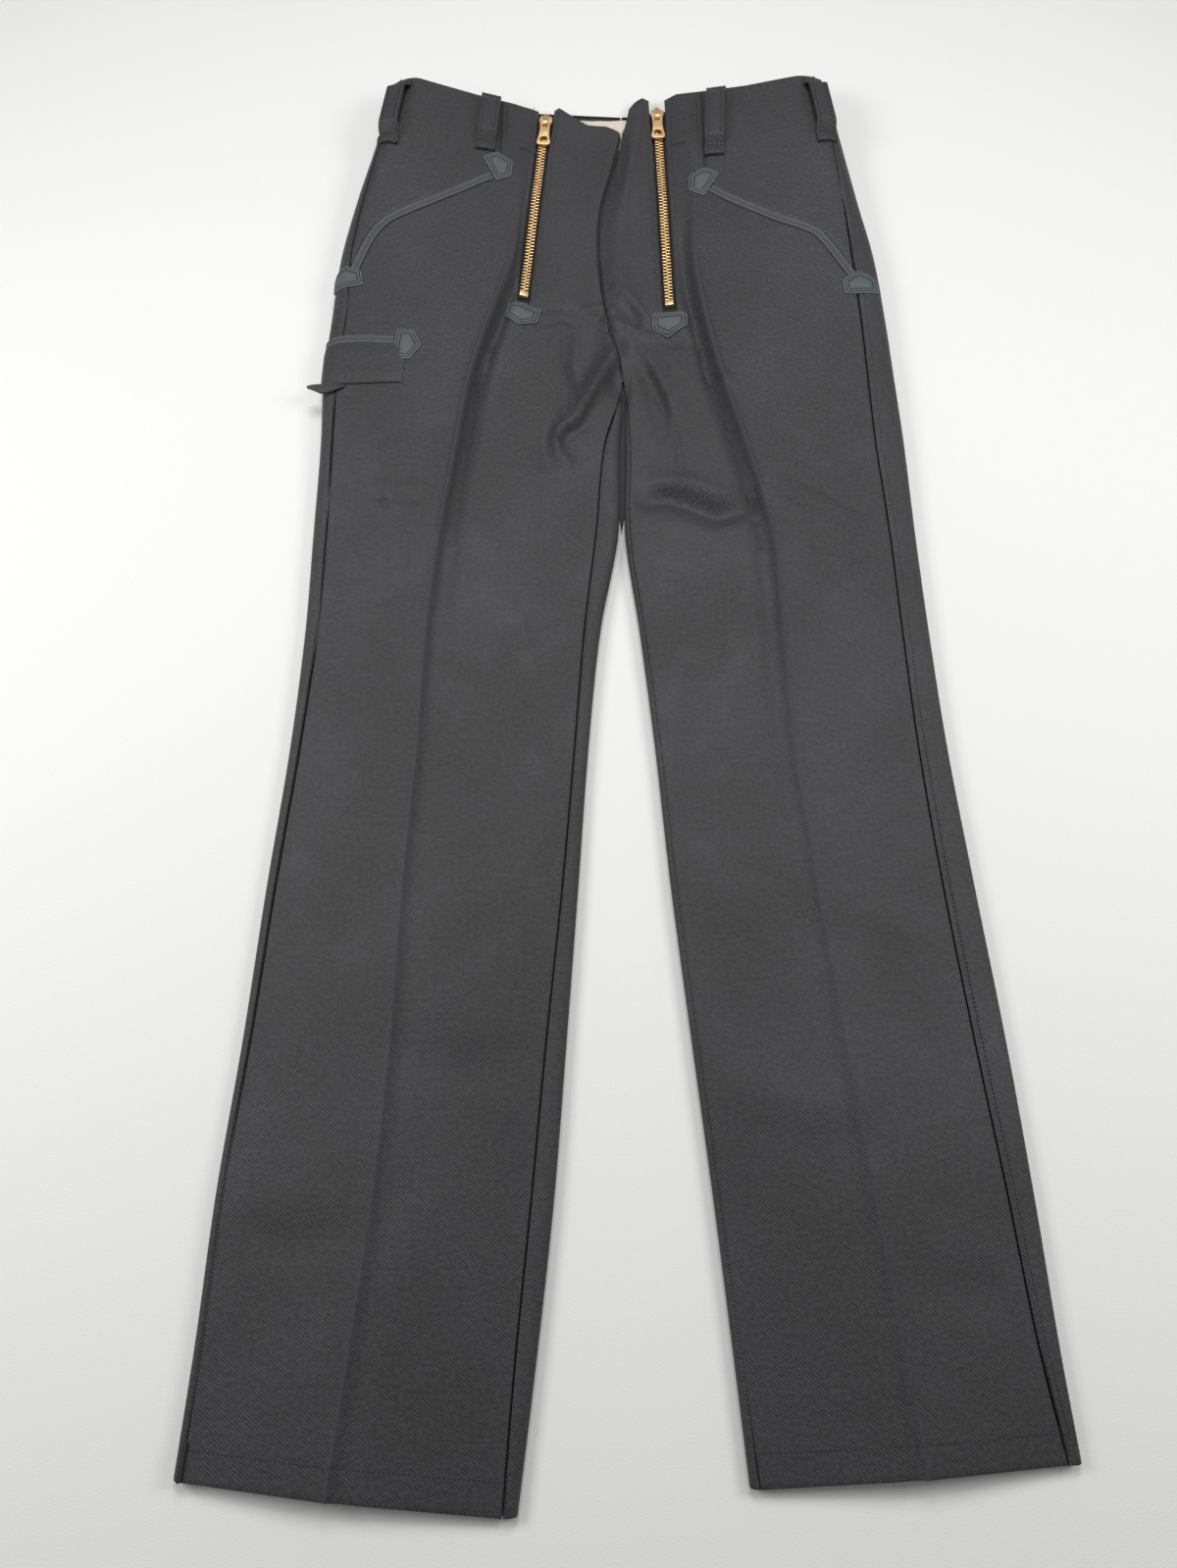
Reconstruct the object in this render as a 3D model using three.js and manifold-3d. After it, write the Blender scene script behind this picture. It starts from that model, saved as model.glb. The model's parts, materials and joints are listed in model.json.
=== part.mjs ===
// Carpenter's guild trousers laid flat: heavy black twill, a double-zip front, leather trimmed
// pockets and a folding-rule pocket on the wearer's right leg.
// Millimetres, +Z up. The back panels lie on the plane z = 0, the waist points along +Y, and
// x runs from the wearer's right leg (negative) to the left leg (positive).
import * as THREE from "three";
import { mergeVertices } from "three/addons/utils/BufferGeometryUtils.js";
import Module from "manifold-3d";

const wasm = await Module();
wasm.setup();

// ---- driving dimensions ----
const CLOTH = 1.6; // heavy twill wall
const LEATHER = 1.4; // patches and piping
const GAP = 0.3; // clearance between sewn pieces
const TRIM_LIFT = 0.5; // clearance above a curved panel of what is sewn on it
const UNDERLAP = 0.8; // clearance below a panel of what is sewn under it
const CROTCH_UP = 797; // from hem level to crotch point
const WAIST_UP = 1084; // from hem level to the waist edge, before the edge's own rise and fall
const HEM_ROWS = 22; // grid rows from hem to crotch, closer together towards the crotch
const RISE_ROWS = 13; // grid rows from crotch to waist
const POCKET_LAP = 11; // how far a hip piece runs under the front

const RIGHT = -1;
const LEFT = 1;
const SIDE_NAMES = new Map([[RIGHT, "right"], [LEFT, "left"]]);

// Sections across one leg. up: level above the hem at the crease. outRise, inRise: how far the
// row climbs at the outseam and at the inseam near the hem. outer, outseam, crease, inseam, inner: distances
// outward from the centre line. sideZ, creaseZ, innerZ: heights of the outer roll, the pressed
// crease and the inner roll. fall: how steeply the cloth drops from the crease towards the inseam.
const COLUMNS = ["up", "outRise", "inRise", "outer", "outseam", "crease", "inseam", "inner",
  "sideZ", "creaseZ", "innerZ", "fall"];
const SECTIONS = {
  right: table([
    [1084, 0, 0, 198, 190, 84, -4, -4, 34, 15, 7, 1.3],
    [1020, 0, 0, 211, 205, 85, 6, 6, 31, 17, 7, 1.4],
    [970, 0, 0, 223, 215, 84, 15, 15, 27, 18, 7, 1.6],
    [915, 0, 0, 233, 223, 88, 16, 16, 23, 20, 7, 2.0],
    [855, 0, 0, 237, 224, 104, 9, 9, 20, 23, 8, 2.2],
    [797, 0, 0, 240, 228, 119, -3, -3, 18, 23, 9, 2.2],
    [735, 0, 0, 238, 228, 128, 12, 0, 16, 21, 10, 1.9],
    [655, 0, 0, 238, 227, 138, 19, 2, 14, 19, 11, 1.4],
    [572, 0, 0, 238, 228, 145, 28, 16, 13, 18, 11, 1.1],
    [478, 0, 0, 242, 234, 148, 35, 25, 12, 17, 10, 1],
    [376, 0, 0, 250, 243, 153, 43, 32, 11, 17, 10, 1],
    [270, 0, 0, 257, 251, 156, 53, 39.5, 10, 17, 10, 1],
    [171, 3, -2, 265, 260, 162, 61.5, 47, 10, 17, 10, 1],
    [80, 7, -5, 269, 264, 171, 70, 57, 10, 18, 10, 1],
    [0, 11, -8, 274, 270, 180, 76, 67, 10, 19, 10, 1],
  ]),
  left: table([
    [1084, 0, 0, 185, 173, 66, 4, 4, 34, 16, 7, 1.2],
    [1020, 0, 0, 196, 185, 64, -6, -6, 31, 17, 7, 1.4],
    [970, 0, 0, 205, 190, 64, -15, -15, 27, 18, 7, 1.6],
    [915, 0, 0, 215, 194, 63, -16, -16, 23, 20, 7, 2.0],
    [855, 0, 0, 220, 198, 70, -9, -9, 20, 23, 8, 2.2],
    [797, 0, 0, 223, 200, 81, 3, 3, 18, 23, 9, 2.2],
    [735, 0, 0, 226, 202, 97, 7.5, 4.5, 16, 21, 10, 1.9],
    [655, 0, 0, 228, 207, 115, 6.5, 3.5, 14, 19, 11, 1.4],
    [572, 0, 0, 231, 210, 119, 16.5, 13.5, 13, 18, 11, 1.1],
    [478, 0, 0, 236, 214, 122, 27, 23.5, 12, 17, 10, 1],
    [376, 0, 0, 245, 222, 132, 36, 32.5, 11, 17, 10, 1],
    [270, 0, 0, 255, 233, 144, 47.5, 44, 10, 17, 10, 1],
    [171, 1, 0, 262, 244, 156, 58.5, 55, 10, 17, 10, 1],
    [80, 4, -2, 267, 253, 167, 68.5, 64.5, 10, 18, 10, 1],
    [12, 8, -5, 272, 263, 176, 77, 71.5, 10, 19, 10, 1],
  ]),
};

// The waist edge of the front, from the centre outwards: distance from the centre line, level.
const WAIST_EDGE = {
  right: [[-5, 1060], [0, 1061], [12, 1068], [25, 1075], [38, 1080], [50, 1084], [60, 1078], [70, 1079],
    [90, 1083], [124, 1086], [175, 1093], [215, 1094]],
  left: [[4, 1060], [8, 1070], [11, 1088], [16, 1094], [23, 1098], [32, 1094], [42, 1094], [53, 1098],
    [75, 1096], [113, 1094], [146, 1095], [190, 1096]],
};
const BACK_EDGE = 1082;

// Soft troughs (negative) and ridges (positive) of the front. Each runs along its points.
const FOLDS = [
  { name: "crotch hollow", height: -5, width: 13, points: [[-24, 846], [-28, 815]] },
  { name: "crotch roll", height: 5, width: 8, points: [[-6, 862], [-1, 828], [-20, 788], [-44, 757]] },
  { name: "fly roll", height: 3, width: 13, points: [[-4, 905], [22, 868], [46, 846]] },
  { name: "thigh pull", height: 3, width: 9, points: [[14, 845], [34, 800], [46, 762]] },
  { name: "thigh trough", height: -3, width: 9, points: [[14, 690], [45, 684], [72, 672], [104, 686]] },
  { name: "right zip trough", height: -2.5, width: 10, points: [[-62, 1090], [-68, 1000]] },
  { name: "left zip trough", height: -2.5, width: 10, points: [[36, 1098], [39, 1000]] },
];

// Pocket mouths, from the vertical hip seam down to the outseam.
const MOUTHS = {
  right: [[-104, 1004], [-131, 987], [-158, 971], [-181, 958], [-198, 946], [-210, 928], [-221, 898]],
  left: [[74, 993], [96, 976], [117, 963], [138, 951], [158, 942], [172, 931], [193, 897]],
};
const HIP_SEAM = { right: -101, left: 75 };
const PIPE = { width: 5, thick: 1.5, start: { right: 7, left: 10 }, end: 6 };

// Zips, from the slider's top end to the bottom stop.
const ZIPS = {
  right: { top: [-62.5, 1076], bottom: [-79, 874] },
  left: { top: [36, 1086], bottom: [42, 866] },
};
const ZIP = { slot: 10.8, slotAtSlider: 12.8, tape: 24, tapeThick: 0.8, chain: 7.4, proud: 1.2, pitch: 20,
  sliderLength: 14, sliderWidth: 11.4, sliderFoot: -0.6, sliderTop: 2, stopLength: 6, stopWidth: 7 };
const PULL = { length: 24.5, neck: 9.2, foot: 12, thick: 1.7, eyeLength: 3.8, eyeWidth: 4.8,
  hole: 6.4, holeSide: 2.6, holeUp: 3.8 };
// The bridge over a slider: an arch that holds the pull, down from the slider's middle, and a ridge
// from the arch to the slider's top end.
const BRIDGE = { width: 3.8, inner: 1.5, outer: 2.7, down: 5 };
const RIDGE = [[1.9, 1.5], [3, 1.2], [6, 0.5], [10.4, -0.3], [11.6, -0.8], [12, -1.5]];

const PATCH = { width: 28, side: 14, peak: 8 };
const PATCHES = [
  { name: "patch_pocket_top_right", side: RIGHT, at: [-110, 1006], turn: -64 },
  { name: "patch_pocket_top_left", side: LEFT, at: [80.5, 989.5], turn: 61 },
  { name: "patch_pocket_foot_right", side: RIGHT, at: [-225, 879], turn: 8 },
  { name: "patch_pocket_foot_left", side: LEFT, at: [200, 873], turn: 3 },
  { name: "patch_zip_right", side: RIGHT, at: [-78, 867], turn: 166 },
  { name: "patch_zip_left", side: LEFT, at: [42, 858.5], turn: 178 },
  { name: "patch_rule_pocket", side: RIGHT, at: [-182, 823], turn: -95 },
];

const LOOP = { width: 17, length: 68, thick: 2.2, lift: 7, end: 9 };
const LOOPS = [
  { name: "belt_loop_front_right", side: RIGHT, top: [-110.5, 1087], bottom: [-114.5, 1025.5] },
  { name: "belt_loop_front_left", side: LEFT, top: [88, 1096], bottom: [84, 1021] },
  { name: "belt_loop_side_right", side: RIGHT, top: [-187, 1090], bottom: [-197, 1023] },
  { name: "belt_loop_side_left", side: LEFT, top: [170, 1092], bottom: [180, 1025] },
];

// Folding-rule pocket: inner edge, mouth and foot levels, and how far it wraps past the outseam.
const RULE_POCKET = { inner: -174, mouth: 823, foot: 786, wrap: 21 };
// The pocket's loose corner: stations outward, its upper and lower edge, and its lift off the leg.
// Beyond TAIL_FREE it leaves the leg's curve and points straight out.
const TAIL_FREE = -234;
const TAIL = [
  { x: -221, high: 785.2, low: 782.5, lift: 0.6 },
  { x: -230, high: 785.2, low: 778, lift: 1.5 },
  { x: -239, high: 784.5, low: 776, lift: 3 },
  { x: -250, high: 782, low: 780.5, lift: 3.5 },
];
const WAIST_LINING = { halfWidth: 62, top: 1079, drop: 34, thick: 0.8 };

const COLOURS = {
  cloth: [0x2c2b2e, 0.9, 0], leather: [0x39423f, 0.65, 0], lining: [0xd8d2c2, 0.9, 0],
  tape: [0x161618, 0.9, 0], brass: [0xc08a45, 0.35, 0.9],
};

// ---- small helpers ----
function table(rows) {
  return rows.map((row) => Object.fromEntries(COLUMNS.map((name, i) => [name, row[i]])));
}

function clamp01(t) {
  return Math.min(1, Math.max(0, t));
}

function smoothstep(from, to, t) {
  const s = clamp01((t - from) / (to - from));
  return s * s * (3 - 2 * s);
}

function lerp(a, b, t) {
  return a + (b - a) * t;
}

// Value of one column at a level, by a cubic through the table's rows.
function columnAt(rows, key, up) {
  const last = rows.length - 1;
  let i = 0;
  while (i < last - 1 && up < rows[i + 1].up) i++;
  const a = rows[Math.max(i - 1, 0)], b = rows[i], c = rows[i + 1], d = rows[Math.min(i + 2, last)];
  const h = c.up - b.up;
  const t = clamp01((up - b.up) / h);
  const slopeB = (c[key] - a[key]) / (c.up - a.up) * h;
  const slopeC = (d[key] - b[key]) / (d.up - b.up) * h;
  const t2 = t * t, t3 = t2 * t;
  return (2 * t3 - 3 * t2 + 1) * b[key] + (t3 - 2 * t2 + t) * slopeB
    + (3 * t2 - 2 * t3) * c[key] + (t3 - t2) * slopeC;
}

// Every column at a level, with the rolls' half axes.
function sectionAt(side, up) {
  const rows = SECTIONS[SIDE_NAMES.get(side)];
  const s = Object.fromEntries(COLUMNS.map((key) => [key, columnAt(rows, key, up)]));
  s.up = up;
  if (up > CROTCH_UP) {
    const centre = (columnAt(SECTIONS.left, "inseam", up) - columnAt(SECTIONS.right, "inseam", up)) / 2;
    s.inseam = s.inner = side * centre;
  }
  s.curl = 1 - smoothstep(CROTCH_UP - 32, CROTCH_UP + 14, up); // 0 in the seat, 1 down the leg
  const sideLap = 6 + 10 * smoothstep(950, 1084, up);
  s.reach = s.outer - s.outseam + sideLap;
  s.rollX = s.outer - s.reach;
  s.innerReach = Math.max(s.inseam - s.inner, 0) + 5;
  s.innerRollX = lerp(s.inseam + 12, s.inner + s.innerReach, s.curl);
  return s;
}

// A side roll: a superellipse from its top, round its outermost point, to the surface below.
function rollPoint(reach, height, angle) {
  const half = height / 2;
  const power = Math.max(2, 1.6 * reach / half);
  return [reach * Math.pow(Math.max(Math.sin(angle), 0), 2 / power), half * (1 + Math.cos(angle))];
}

function rollAngle(reach, height, distance) {
  const power = Math.max(2, 1.6 * reach / (height / 2));
  return Math.asin(Math.pow(clamp01(distance / reach), power / 2));
}

// Distance to a path, the share of its length there, and which hand of the path the point is on.
function distanceToPath(points, x, y) {
  let best = Infinity, along = 0, hand = 0;
  for (let i = 0; i + 1 < points.length; i++) {
    const [ax, ay] = points[i], [bx, by] = points[i + 1];
    const ex = bx - ax, ey = by - ay;
    const t = clamp01(((x - ax) * ex + (y - ay) * ey) / (ex * ex + ey * ey));
    const d = Math.hypot(x - ax - ex * t, y - ay - ey * t);
    const cross = ex * (y - ay) - ey * (x - ax);
    if (d < best) [best, along, hand] = [d, (i + t) / (points.length - 1), Math.sign(cross)];
  }
  return [best, along, hand];
}

function foldHeight(x, y) {
  return FOLDS.reduce((sum, fold) => {
    const [d, along] = distanceToPath(fold.points, x, y);
    const taper = 0.35 + 0.65 * Math.sin(Math.PI * (0.12 + 0.76 * along));
    return sum + fold.height * taper * Math.exp(-((d / fold.width) ** 2));
  }, 0);
}

function waistEdge(side, distance) {
  const edge = WAIST_EDGE[SIDE_NAMES.get(side)];
  let i = 0;
  while (i < edge.length - 2 && distance > edge[i + 1][0]) i++;
  const [[ax, ay], [bx, by]] = [edge[i], edge[i + 1]];
  return lerp(ay, by, clamp01((distance - ax) / (bx - ax)));
}

// Level of a row at a distance from the centre line. Rows bend towards the edge they end in.
function rowLevel(side, s, distance) {
  const share = clamp01((distance - s.inseam) / (s.outseam - s.inseam));
  const bend = Math.pow(smoothstep(880, WAIST_UP, s.up), 2);
  return s.up + lerp(s.inRise, s.outRise, share) + (waistEdge(side, distance) - WAIST_UP) * bend;
}

// The same for the back, whose waist edge runs straight across.
function backLevel(side, s, distance) {
  const share = clamp01((distance - s.inseam) / (s.outseam - s.inseam));
  const bend = Math.pow(smoothstep(880, WAIST_UP, s.up), 2);
  const edge = lerp(BACK_EDGE, waistEdge(side, s.outseam), share);
  return s.up + lerp(s.inRise, s.outRise, share) + (edge - WAIST_UP) * bend;
}

// Top of the cloth at a distance from the centre line, from the inseam to the outer roll's edge.
function topHeight(side, s, distance) {
  let z;
  if (distance > s.rollX) {
    const angle = rollAngle(s.reach, s.sideZ, distance - s.rollX);
    z = rollPoint(s.reach, s.sideZ, angle)[1];
  } else if (distance > s.crease) {
    const t = (distance - s.crease) / (s.rollX - s.crease);
    z = lerp(s.creaseZ, s.sideZ, t);
  } else if (distance > s.innerRollX) {
    const t = (s.crease - distance) / (s.crease - s.innerRollX);
    z = lerp(s.innerZ, s.creaseZ, Math.pow(1 - t, s.fall));
  } else {
    const t = clamp01((s.innerRollX - distance) / (s.innerRollX - s.inseam));
    const valley = s.innerZ - 1.6 * t * t;
    const angle = rollAngle(s.innerReach, s.innerZ, Math.min(s.innerRollX - distance, s.innerReach));
    z = lerp(valley, rollPoint(s.innerReach, s.innerZ, angle)[1], s.curl);
  }
  const pastInseam = smoothstep(s.inseam - 1, s.inseam + 14, distance);
  const onFront = pastInseam * (1 - smoothstep(s.rollX - 20, s.rollX, distance));
  return z + foldHeight(side * distance, s.up) * lerp(1, onFront, s.curl);
}

// Section through whatever level passes through x, y.
function sectionThrough(side, x, y) {
  let up = y;
  for (let i = 0; i < 8; i++) up -= rowLevel(side, sectionAt(side, up), side * x) - y;
  return sectionAt(side, up);
}

// Point of the outer roll at an arc length past the outseam.
function rollAtArc(s, arc) {
  const steps = 40;
  const start = rollAngle(s.reach, s.sideZ, s.outseam - s.rollX);
  let [px, pz] = rollPoint(s.reach, s.sideZ, start);
  let run = 0;
  for (let i = 1; i <= steps; i++) {
    const [nx, nz] = rollPoint(s.reach, s.sideZ, lerp(start, Math.PI, i / steps));
    const step = Math.hypot(nx - px, nz - pz);
    if (run + step >= arc) {
      const t = (arc - run) / step;
      return [s.rollX + lerp(px, nx, t), lerp(pz, nz, t)];
    }
    run += step;
    [px, pz] = [nx, nz];
  }
  return [s.rollX + px, pz];
}

// The garment's skin at x, y. Past the outseam x is measured along the roll.
function skinPoint(side, x, y) {
  const s = sectionThrough(side, x, y);
  const distance = side * x;
  if (distance <= s.outseam) return new THREE.Vector3(x, y, topHeight(side, s, distance));
  const [d, z] = rollAtArc(s, distance - s.outseam);
  return new THREE.Vector3(side * d, y, z);
}

// The same point moved out along the skin's normal.
function raised(side, x, y, lift) {
  const step = 2.5;
  const alongX = skinPoint(side, x + step, y).sub(skinPoint(side, x - step, y));
  const alongY = skinPoint(side, x, y + step).sub(skinPoint(side, x, y - step));
  const normal = alongX.cross(alongY).normalize();
  return skinPoint(side, x, y).addScaledVector(normal, lift);
}

// ---- solids ----
// A closed wall between two grids of the same size, each grid[row][column] = Vector3.
function wallGeometry(outer, inner) {
  const rows = outer.length, columns = outer[0].length;
  const points = [...outer.flat(), ...inner.flat()];
  const layer = rows * columns;
  const index = [];
  const at = (r, c, k) => k * layer + r * columns + c;
  const quad = (a, b, c, d) => {
    const even = points[a].distanceTo(points[c]) <= points[b].distanceTo(points[d]);
    index.push(...(even ? [a, b, c, a, c, d] : [a, b, d, b, c, d]));
  };
  for (let r = 0; r + 1 < rows; r++) {
    for (let c = 0; c + 1 < columns; c++) {
      quad(at(r, c, 0), at(r, c + 1, 0), at(r + 1, c + 1, 0), at(r + 1, c, 0));
      quad(at(r + 1, c, 1), at(r + 1, c + 1, 1), at(r, c + 1, 1), at(r, c, 1));
    }
  }
  const rim = [];
  for (let c = 0; c < columns - 1; c++) rim.push([0, c]);
  for (let r = 0; r < rows - 1; r++) rim.push([r, columns - 1]);
  for (let c = columns - 1; c > 0; c--) rim.push([rows - 1, c]);
  for (let r = rows - 1; r > 0; r--) rim.push([r, 0]);
  rim.forEach(([r, c], i) => {
    const [nr, nc] = rim[(i + 1) % rim.length];
    quad(at(r, c, 0), at(r, c, 1), at(nr, nc, 1), at(nr, nc, 0));
  });
  const geometry = new THREE.BufferGeometry();
  geometry.setAttribute("position", new THREE.Float32BufferAttribute(points.flatMap((p) => p.toArray()), 3));
  geometry.setIndex(index);
  return geometry;
}

function solid(geometry) {
  const bare = geometry.clone();
  bare.deleteAttribute("normal");
  bare.deleteAttribute("uv");
  const merged = mergeVertices(bare, 1e-4);
  return new wasm.Manifold(new wasm.Mesh({
    numProp: 3,
    vertProperties: new Float32Array(merged.attributes.position.array),
    triVerts: new Uint32Array(merged.index.array),
  }));
}

function geometryOf(manifold) {
  const mesh = manifold.getMesh();
  const geometry = new THREE.BufferGeometry();
  geometry.setAttribute("position", new THREE.BufferAttribute(mesh.vertProperties, 3));
  geometry.setIndex(new THREE.BufferAttribute(mesh.triVerts, 1));
  return geometry;
}

// Upright prism over a plan outline, tall enough to pass through the whole garment.
function prism(outline, low = -10, high = 80) {
  const shape = new THREE.Shape(outline.map(([x, y]) => new THREE.Vector2(x, y)));
  const options = { depth: high - low, bevelEnabled: false, curveSegments: 4 };
  const body = new THREE.ExtrudeGeometry(shape, options);
  return solid(body.translate(0, 0, low));
}

// A wall from a grid with one spare column at each side, which only steers the normals there.
function panelWall(grid, thickness) {
  const last = grid.length - 1;
  const outer = grid.map((row) => row.slice(1, -1));
  const inner = outer.map((row, r) => row.map((point, i) => {
    const alongRow = grid[r][i + 2].clone().sub(grid[r][i]);
    const alongColumn = grid[Math.min(r + 1, last)][i + 1].clone().sub(grid[Math.max(r - 1, 0)][i + 1]);
    return point.clone().addScaledVector(alongRow.cross(alongColumn).normalize(), -thickness);
  }));
  return solid(wallGeometry(outer, inner));
}

// A sheet over plan points: rows of [x, y], from a low lift to a high lift above the skin.
function sheetGeometry(side, rows, low, high) {
  const layer = (lift) => rows.map((row) => row.map(([x, y]) => raised(side, x, y, lift)));
  return wallGeometry(layer(high), layer(low));
}

const group = new THREE.Group();

function add(name, geometry, finish) {
  const [color, roughness, metalness] = COLOURS[finish];
  const mesh = new THREE.Mesh(geometry, new THREE.MeshStandardMaterial({ color, roughness, metalness }));
  mesh.name = name;
  group.add(mesh);
  return mesh;
}

function levels(side) {
  const rows = SECTIONS[SIDE_NAMES.get(side)];
  const hem = rows.at(-1).up, waist = rows[0].up;
  const leg = Array.from({ length: HEM_ROWS }, (_, i) => lerp(hem, CROTCH_UP, Math.pow(i / HEM_ROWS, 0.8)));
  const seat = Array.from({ length: RISE_ROWS + 1 }, (_, i) => lerp(CROTCH_UP, waist, i / RISE_ROWS));
  return [...leg, ...seat];
}

// Distances of the front's grid columns, from inseam to outseam.
function frontDistances(s) {
  const spans = [[s.inseam + GAP / 2, s.innerRollX, 2], [s.innerRollX, s.crease, 5],
    [s.crease, s.rollX, 5], [s.rollX, s.outseam - GAP / 2, 2]];
  const found = spans.flatMap(([a, b, n]) => Array.from({ length: n }, (_, i) => lerp(a, b, i / n)));
  return [...found, s.outseam - GAP / 2];
}

// Rows of a grid run so that the outer layer faces up on both sides of the body.
function facing(side, grid) {
  return side === LEFT ? grid : grid.map((row) => [...row].reverse());
}

// A point of the inner roll at an angle from its top, or of the seat where there is no roll.
function innerRollPoint(s, angle) {
  const [x, z] = rollPoint(s.innerReach, s.innerZ, angle);
  return [s.inner + s.innerReach - x, z];
}

function innerSeamAngle(s) {
  return rollAngle(s.innerReach, s.innerZ, Math.max(s.innerRollX - s.inseam, 0.1));
}

// The front from its inseam or centre seam, over the crease, to the outseam.
function frontWall(side) {
  const grid = levels(side).map((up) => {
    const s = sectionAt(side, up);
    const row = frontDistances(s).map((d) => [d, topHeight(side, s, d)]);
    const across = [s.inseam - 3, topHeight(-side, sectionAt(-side, up), 3 - s.inseam)];
    const curled = innerRollPoint(s, innerSeamAngle(s) + 0.3);
    row.unshift([lerp(across[0], curled[0], s.curl), lerp(across[1], curled[1], s.curl)]);
    row.push(rollAtArc(s, 3));
    return row.map(([d, z]) => new THREE.Vector3(side * d, rowLevel(side, s, d), z));
  });
  return panelWall(facing(side, grid), CLOTH);
}

// The back: from the outseam round the outer roll, along the surface, and round the inner roll.
function backRow(side, up) {
  const s = sectionAt(side, up);
  const start = rollAngle(s.reach, s.sideZ, s.outseam - s.rollX);
  const turns = [0, 0.3, 0.62, 1].map((t) => lerp(start, Math.PI / 2, t));
  const under = [0.4, 0.75, 1].map((t) => lerp(Math.PI / 2, Math.PI, t));
  const outer = [...turns, ...under].map((angle, i) => {
    const [x, z] = rollPoint(s.reach, s.sideZ, angle);
    return [s.rollX + x + (i ? 0 : GAP / 2), z];
  });
  const flat = [0.2, 0.4, 0.6, 0.8, 1].map((t) => [lerp(s.rollX, s.innerRollX, t), 0]);
  const seam = innerSeamAngle(s);
  const inner = [0.17, 0.36, 0.52, 0.7, 0.86, 1, 1.12].map((t) => {
    const [x, z] = innerRollPoint(s, lerp(Math.PI, seam, t));
    const gap = t >= 1 ? GAP / 2 : 0;
    const seat = lerp(s.innerRollX, s.inseam + GAP / 2, t);
    return [lerp(seat, x - gap, s.curl), z * s.curl];
  });
  const before = [s.outseam - 3, topHeight(side, s, s.outseam - 3)];
  return [before, ...outer, ...flat, ...inner].map(([d, z]) => {
    const spread = backLevel(side, s, d), seamLevel = rowLevel(side, s, Math.min(d, s.outseam));
    const nearSeam = smoothstep(s.rollX, s.outseam, d);
    return new THREE.Vector3(side * d, lerp(spread, seamLevel, nearSeam), z);
  });
}

function backWall(side) {
  return panelWall(facing(side, levels(side).map((up) => backRow(side, up))), CLOTH);
}

// Plan outline of a hip: the part of the front that the pocket opening leaves out.
function hipOutline(side, grow) {
  const name = SIDE_NAMES.get(side);
  const mouth = MOUTHS[name].map(([x, y], i, all) => {
    const [ax, ay] = all[Math.max(i - 1, 0)], [bx, by] = all[Math.min(i + 1, all.length - 1)];
    const run = Math.hypot(bx - ax, by - ay);
    return [x + side * grow * (by - ay) / run, y - side * grow * (bx - ax) / run];
  });
  const [endX, endY] = MOUTHS[name].at(-1);
  const far = side * 330, high = 1160;
  const seamX = HIP_SEAM[name] - side * grow;
  const corner = [[seamX, high], [seamX, mouth[0][1] + grow * 0.4]];
  const foot = endY - 8 - grow;
  const out = [...corner, ...mouth, [endX + side * 10, foot], [far, foot], [far, high]];
  return side === LEFT ? out : out.reverse();
}

function zipFrame(side) {
  const { top, bottom } = ZIPS[SIDE_NAMES.get(side)];
  const a = new THREE.Vector2(...top), b = new THREE.Vector2(...bottom);
  const along = a.clone().sub(b);
  const length = along.length();
  along.normalize();
  return { length, along, across: new THREE.Vector2(along.y, -along.x), bottom: b };
}

// Plan point of a zip: across its width, and up from its bottom stop.
function zipPoint(frame, across, up) {
  const p = frame.bottom.clone().addScaledVector(frame.across, across).addScaledVector(frame.along, up);
  return [p.x, p.y];
}

// The slit a zip shows through, which opens out round the slider.
function slotOutline(side) {
  const frame = zipFrame(side), half = ZIP.slot / 2, wide = ZIP.slotAtSlider / 2;
  const foot = -PATCH.side * 0.3, neck = frame.length - ZIP.sliderLength - 8, head = neck + 6;
  const right = [[half, foot], [half, neck], [wide, head], [wide, 330]];
  const left = right.map(([across, up]) => [-across, up]).reverse();
  return [...right, ...left].map(([across, up]) => zipPoint(frame, across, up));
}

function buildPanels(side) {
  const name = SIDE_NAMES.get(side);
  const front = frontWall(side).subtract(prism(hipOutline(side, 0))).subtract(prism(slotOutline(side)));
  add("front_" + name, geometryOf(front), "cloth");
  add("back_" + name, geometryOf(backWall(side)), "cloth");
  add("hip_" + name, geometryOf(hipWall(side)), "cloth");
}

// The hip piece joins the waist to the outseam and runs under the front along the pocket mouth.
function hipWall(side) {
  const name = SIDE_NAMES.get(side);
  const rows = SECTIONS[name];
  const mouth = [[HIP_SEAM[name], 1160], ...MOUTHS[name]];
  const low = 872, count = 16;
  const layer = (extra) => Array.from({ length: count + 1 }, (_, i) => {
    const s = sectionAt(side, lerp(low, rows[0].up, i / count));
    const inside = side * HIP_SEAM[name] - POCKET_LAP;
    const spans = [[inside, s.rollX, 9], [s.rollX, s.outseam - GAP / 2, 3]];
    const ds = spans.flatMap(([a, b, n]) => Array.from({ length: n }, (_, k) => lerp(a, b, k / n)));
    return [...ds, s.outseam - GAP / 2].map((d) => {
      const x = side * d, y = rowLevel(side, s, d);
      const [away, , hand] = distanceToPath(mouth, x, y);
      const shown = hand === side ? smoothstep(2, POCKET_LAP + 4, away) * smoothstep(880, 915, y) : 0;
      const sunk = (CLOTH + UNDERLAP) * (1 - shown);
      return raised(side, x, y, -sunk - extra);
    });
  });
  const wall = solid(wallGeometry(facing(side, layer(0)), facing(side, layer(CLOTH))));
  return wall.intersect(prism(hipOutline(side, POCKET_LAP)));
}

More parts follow.
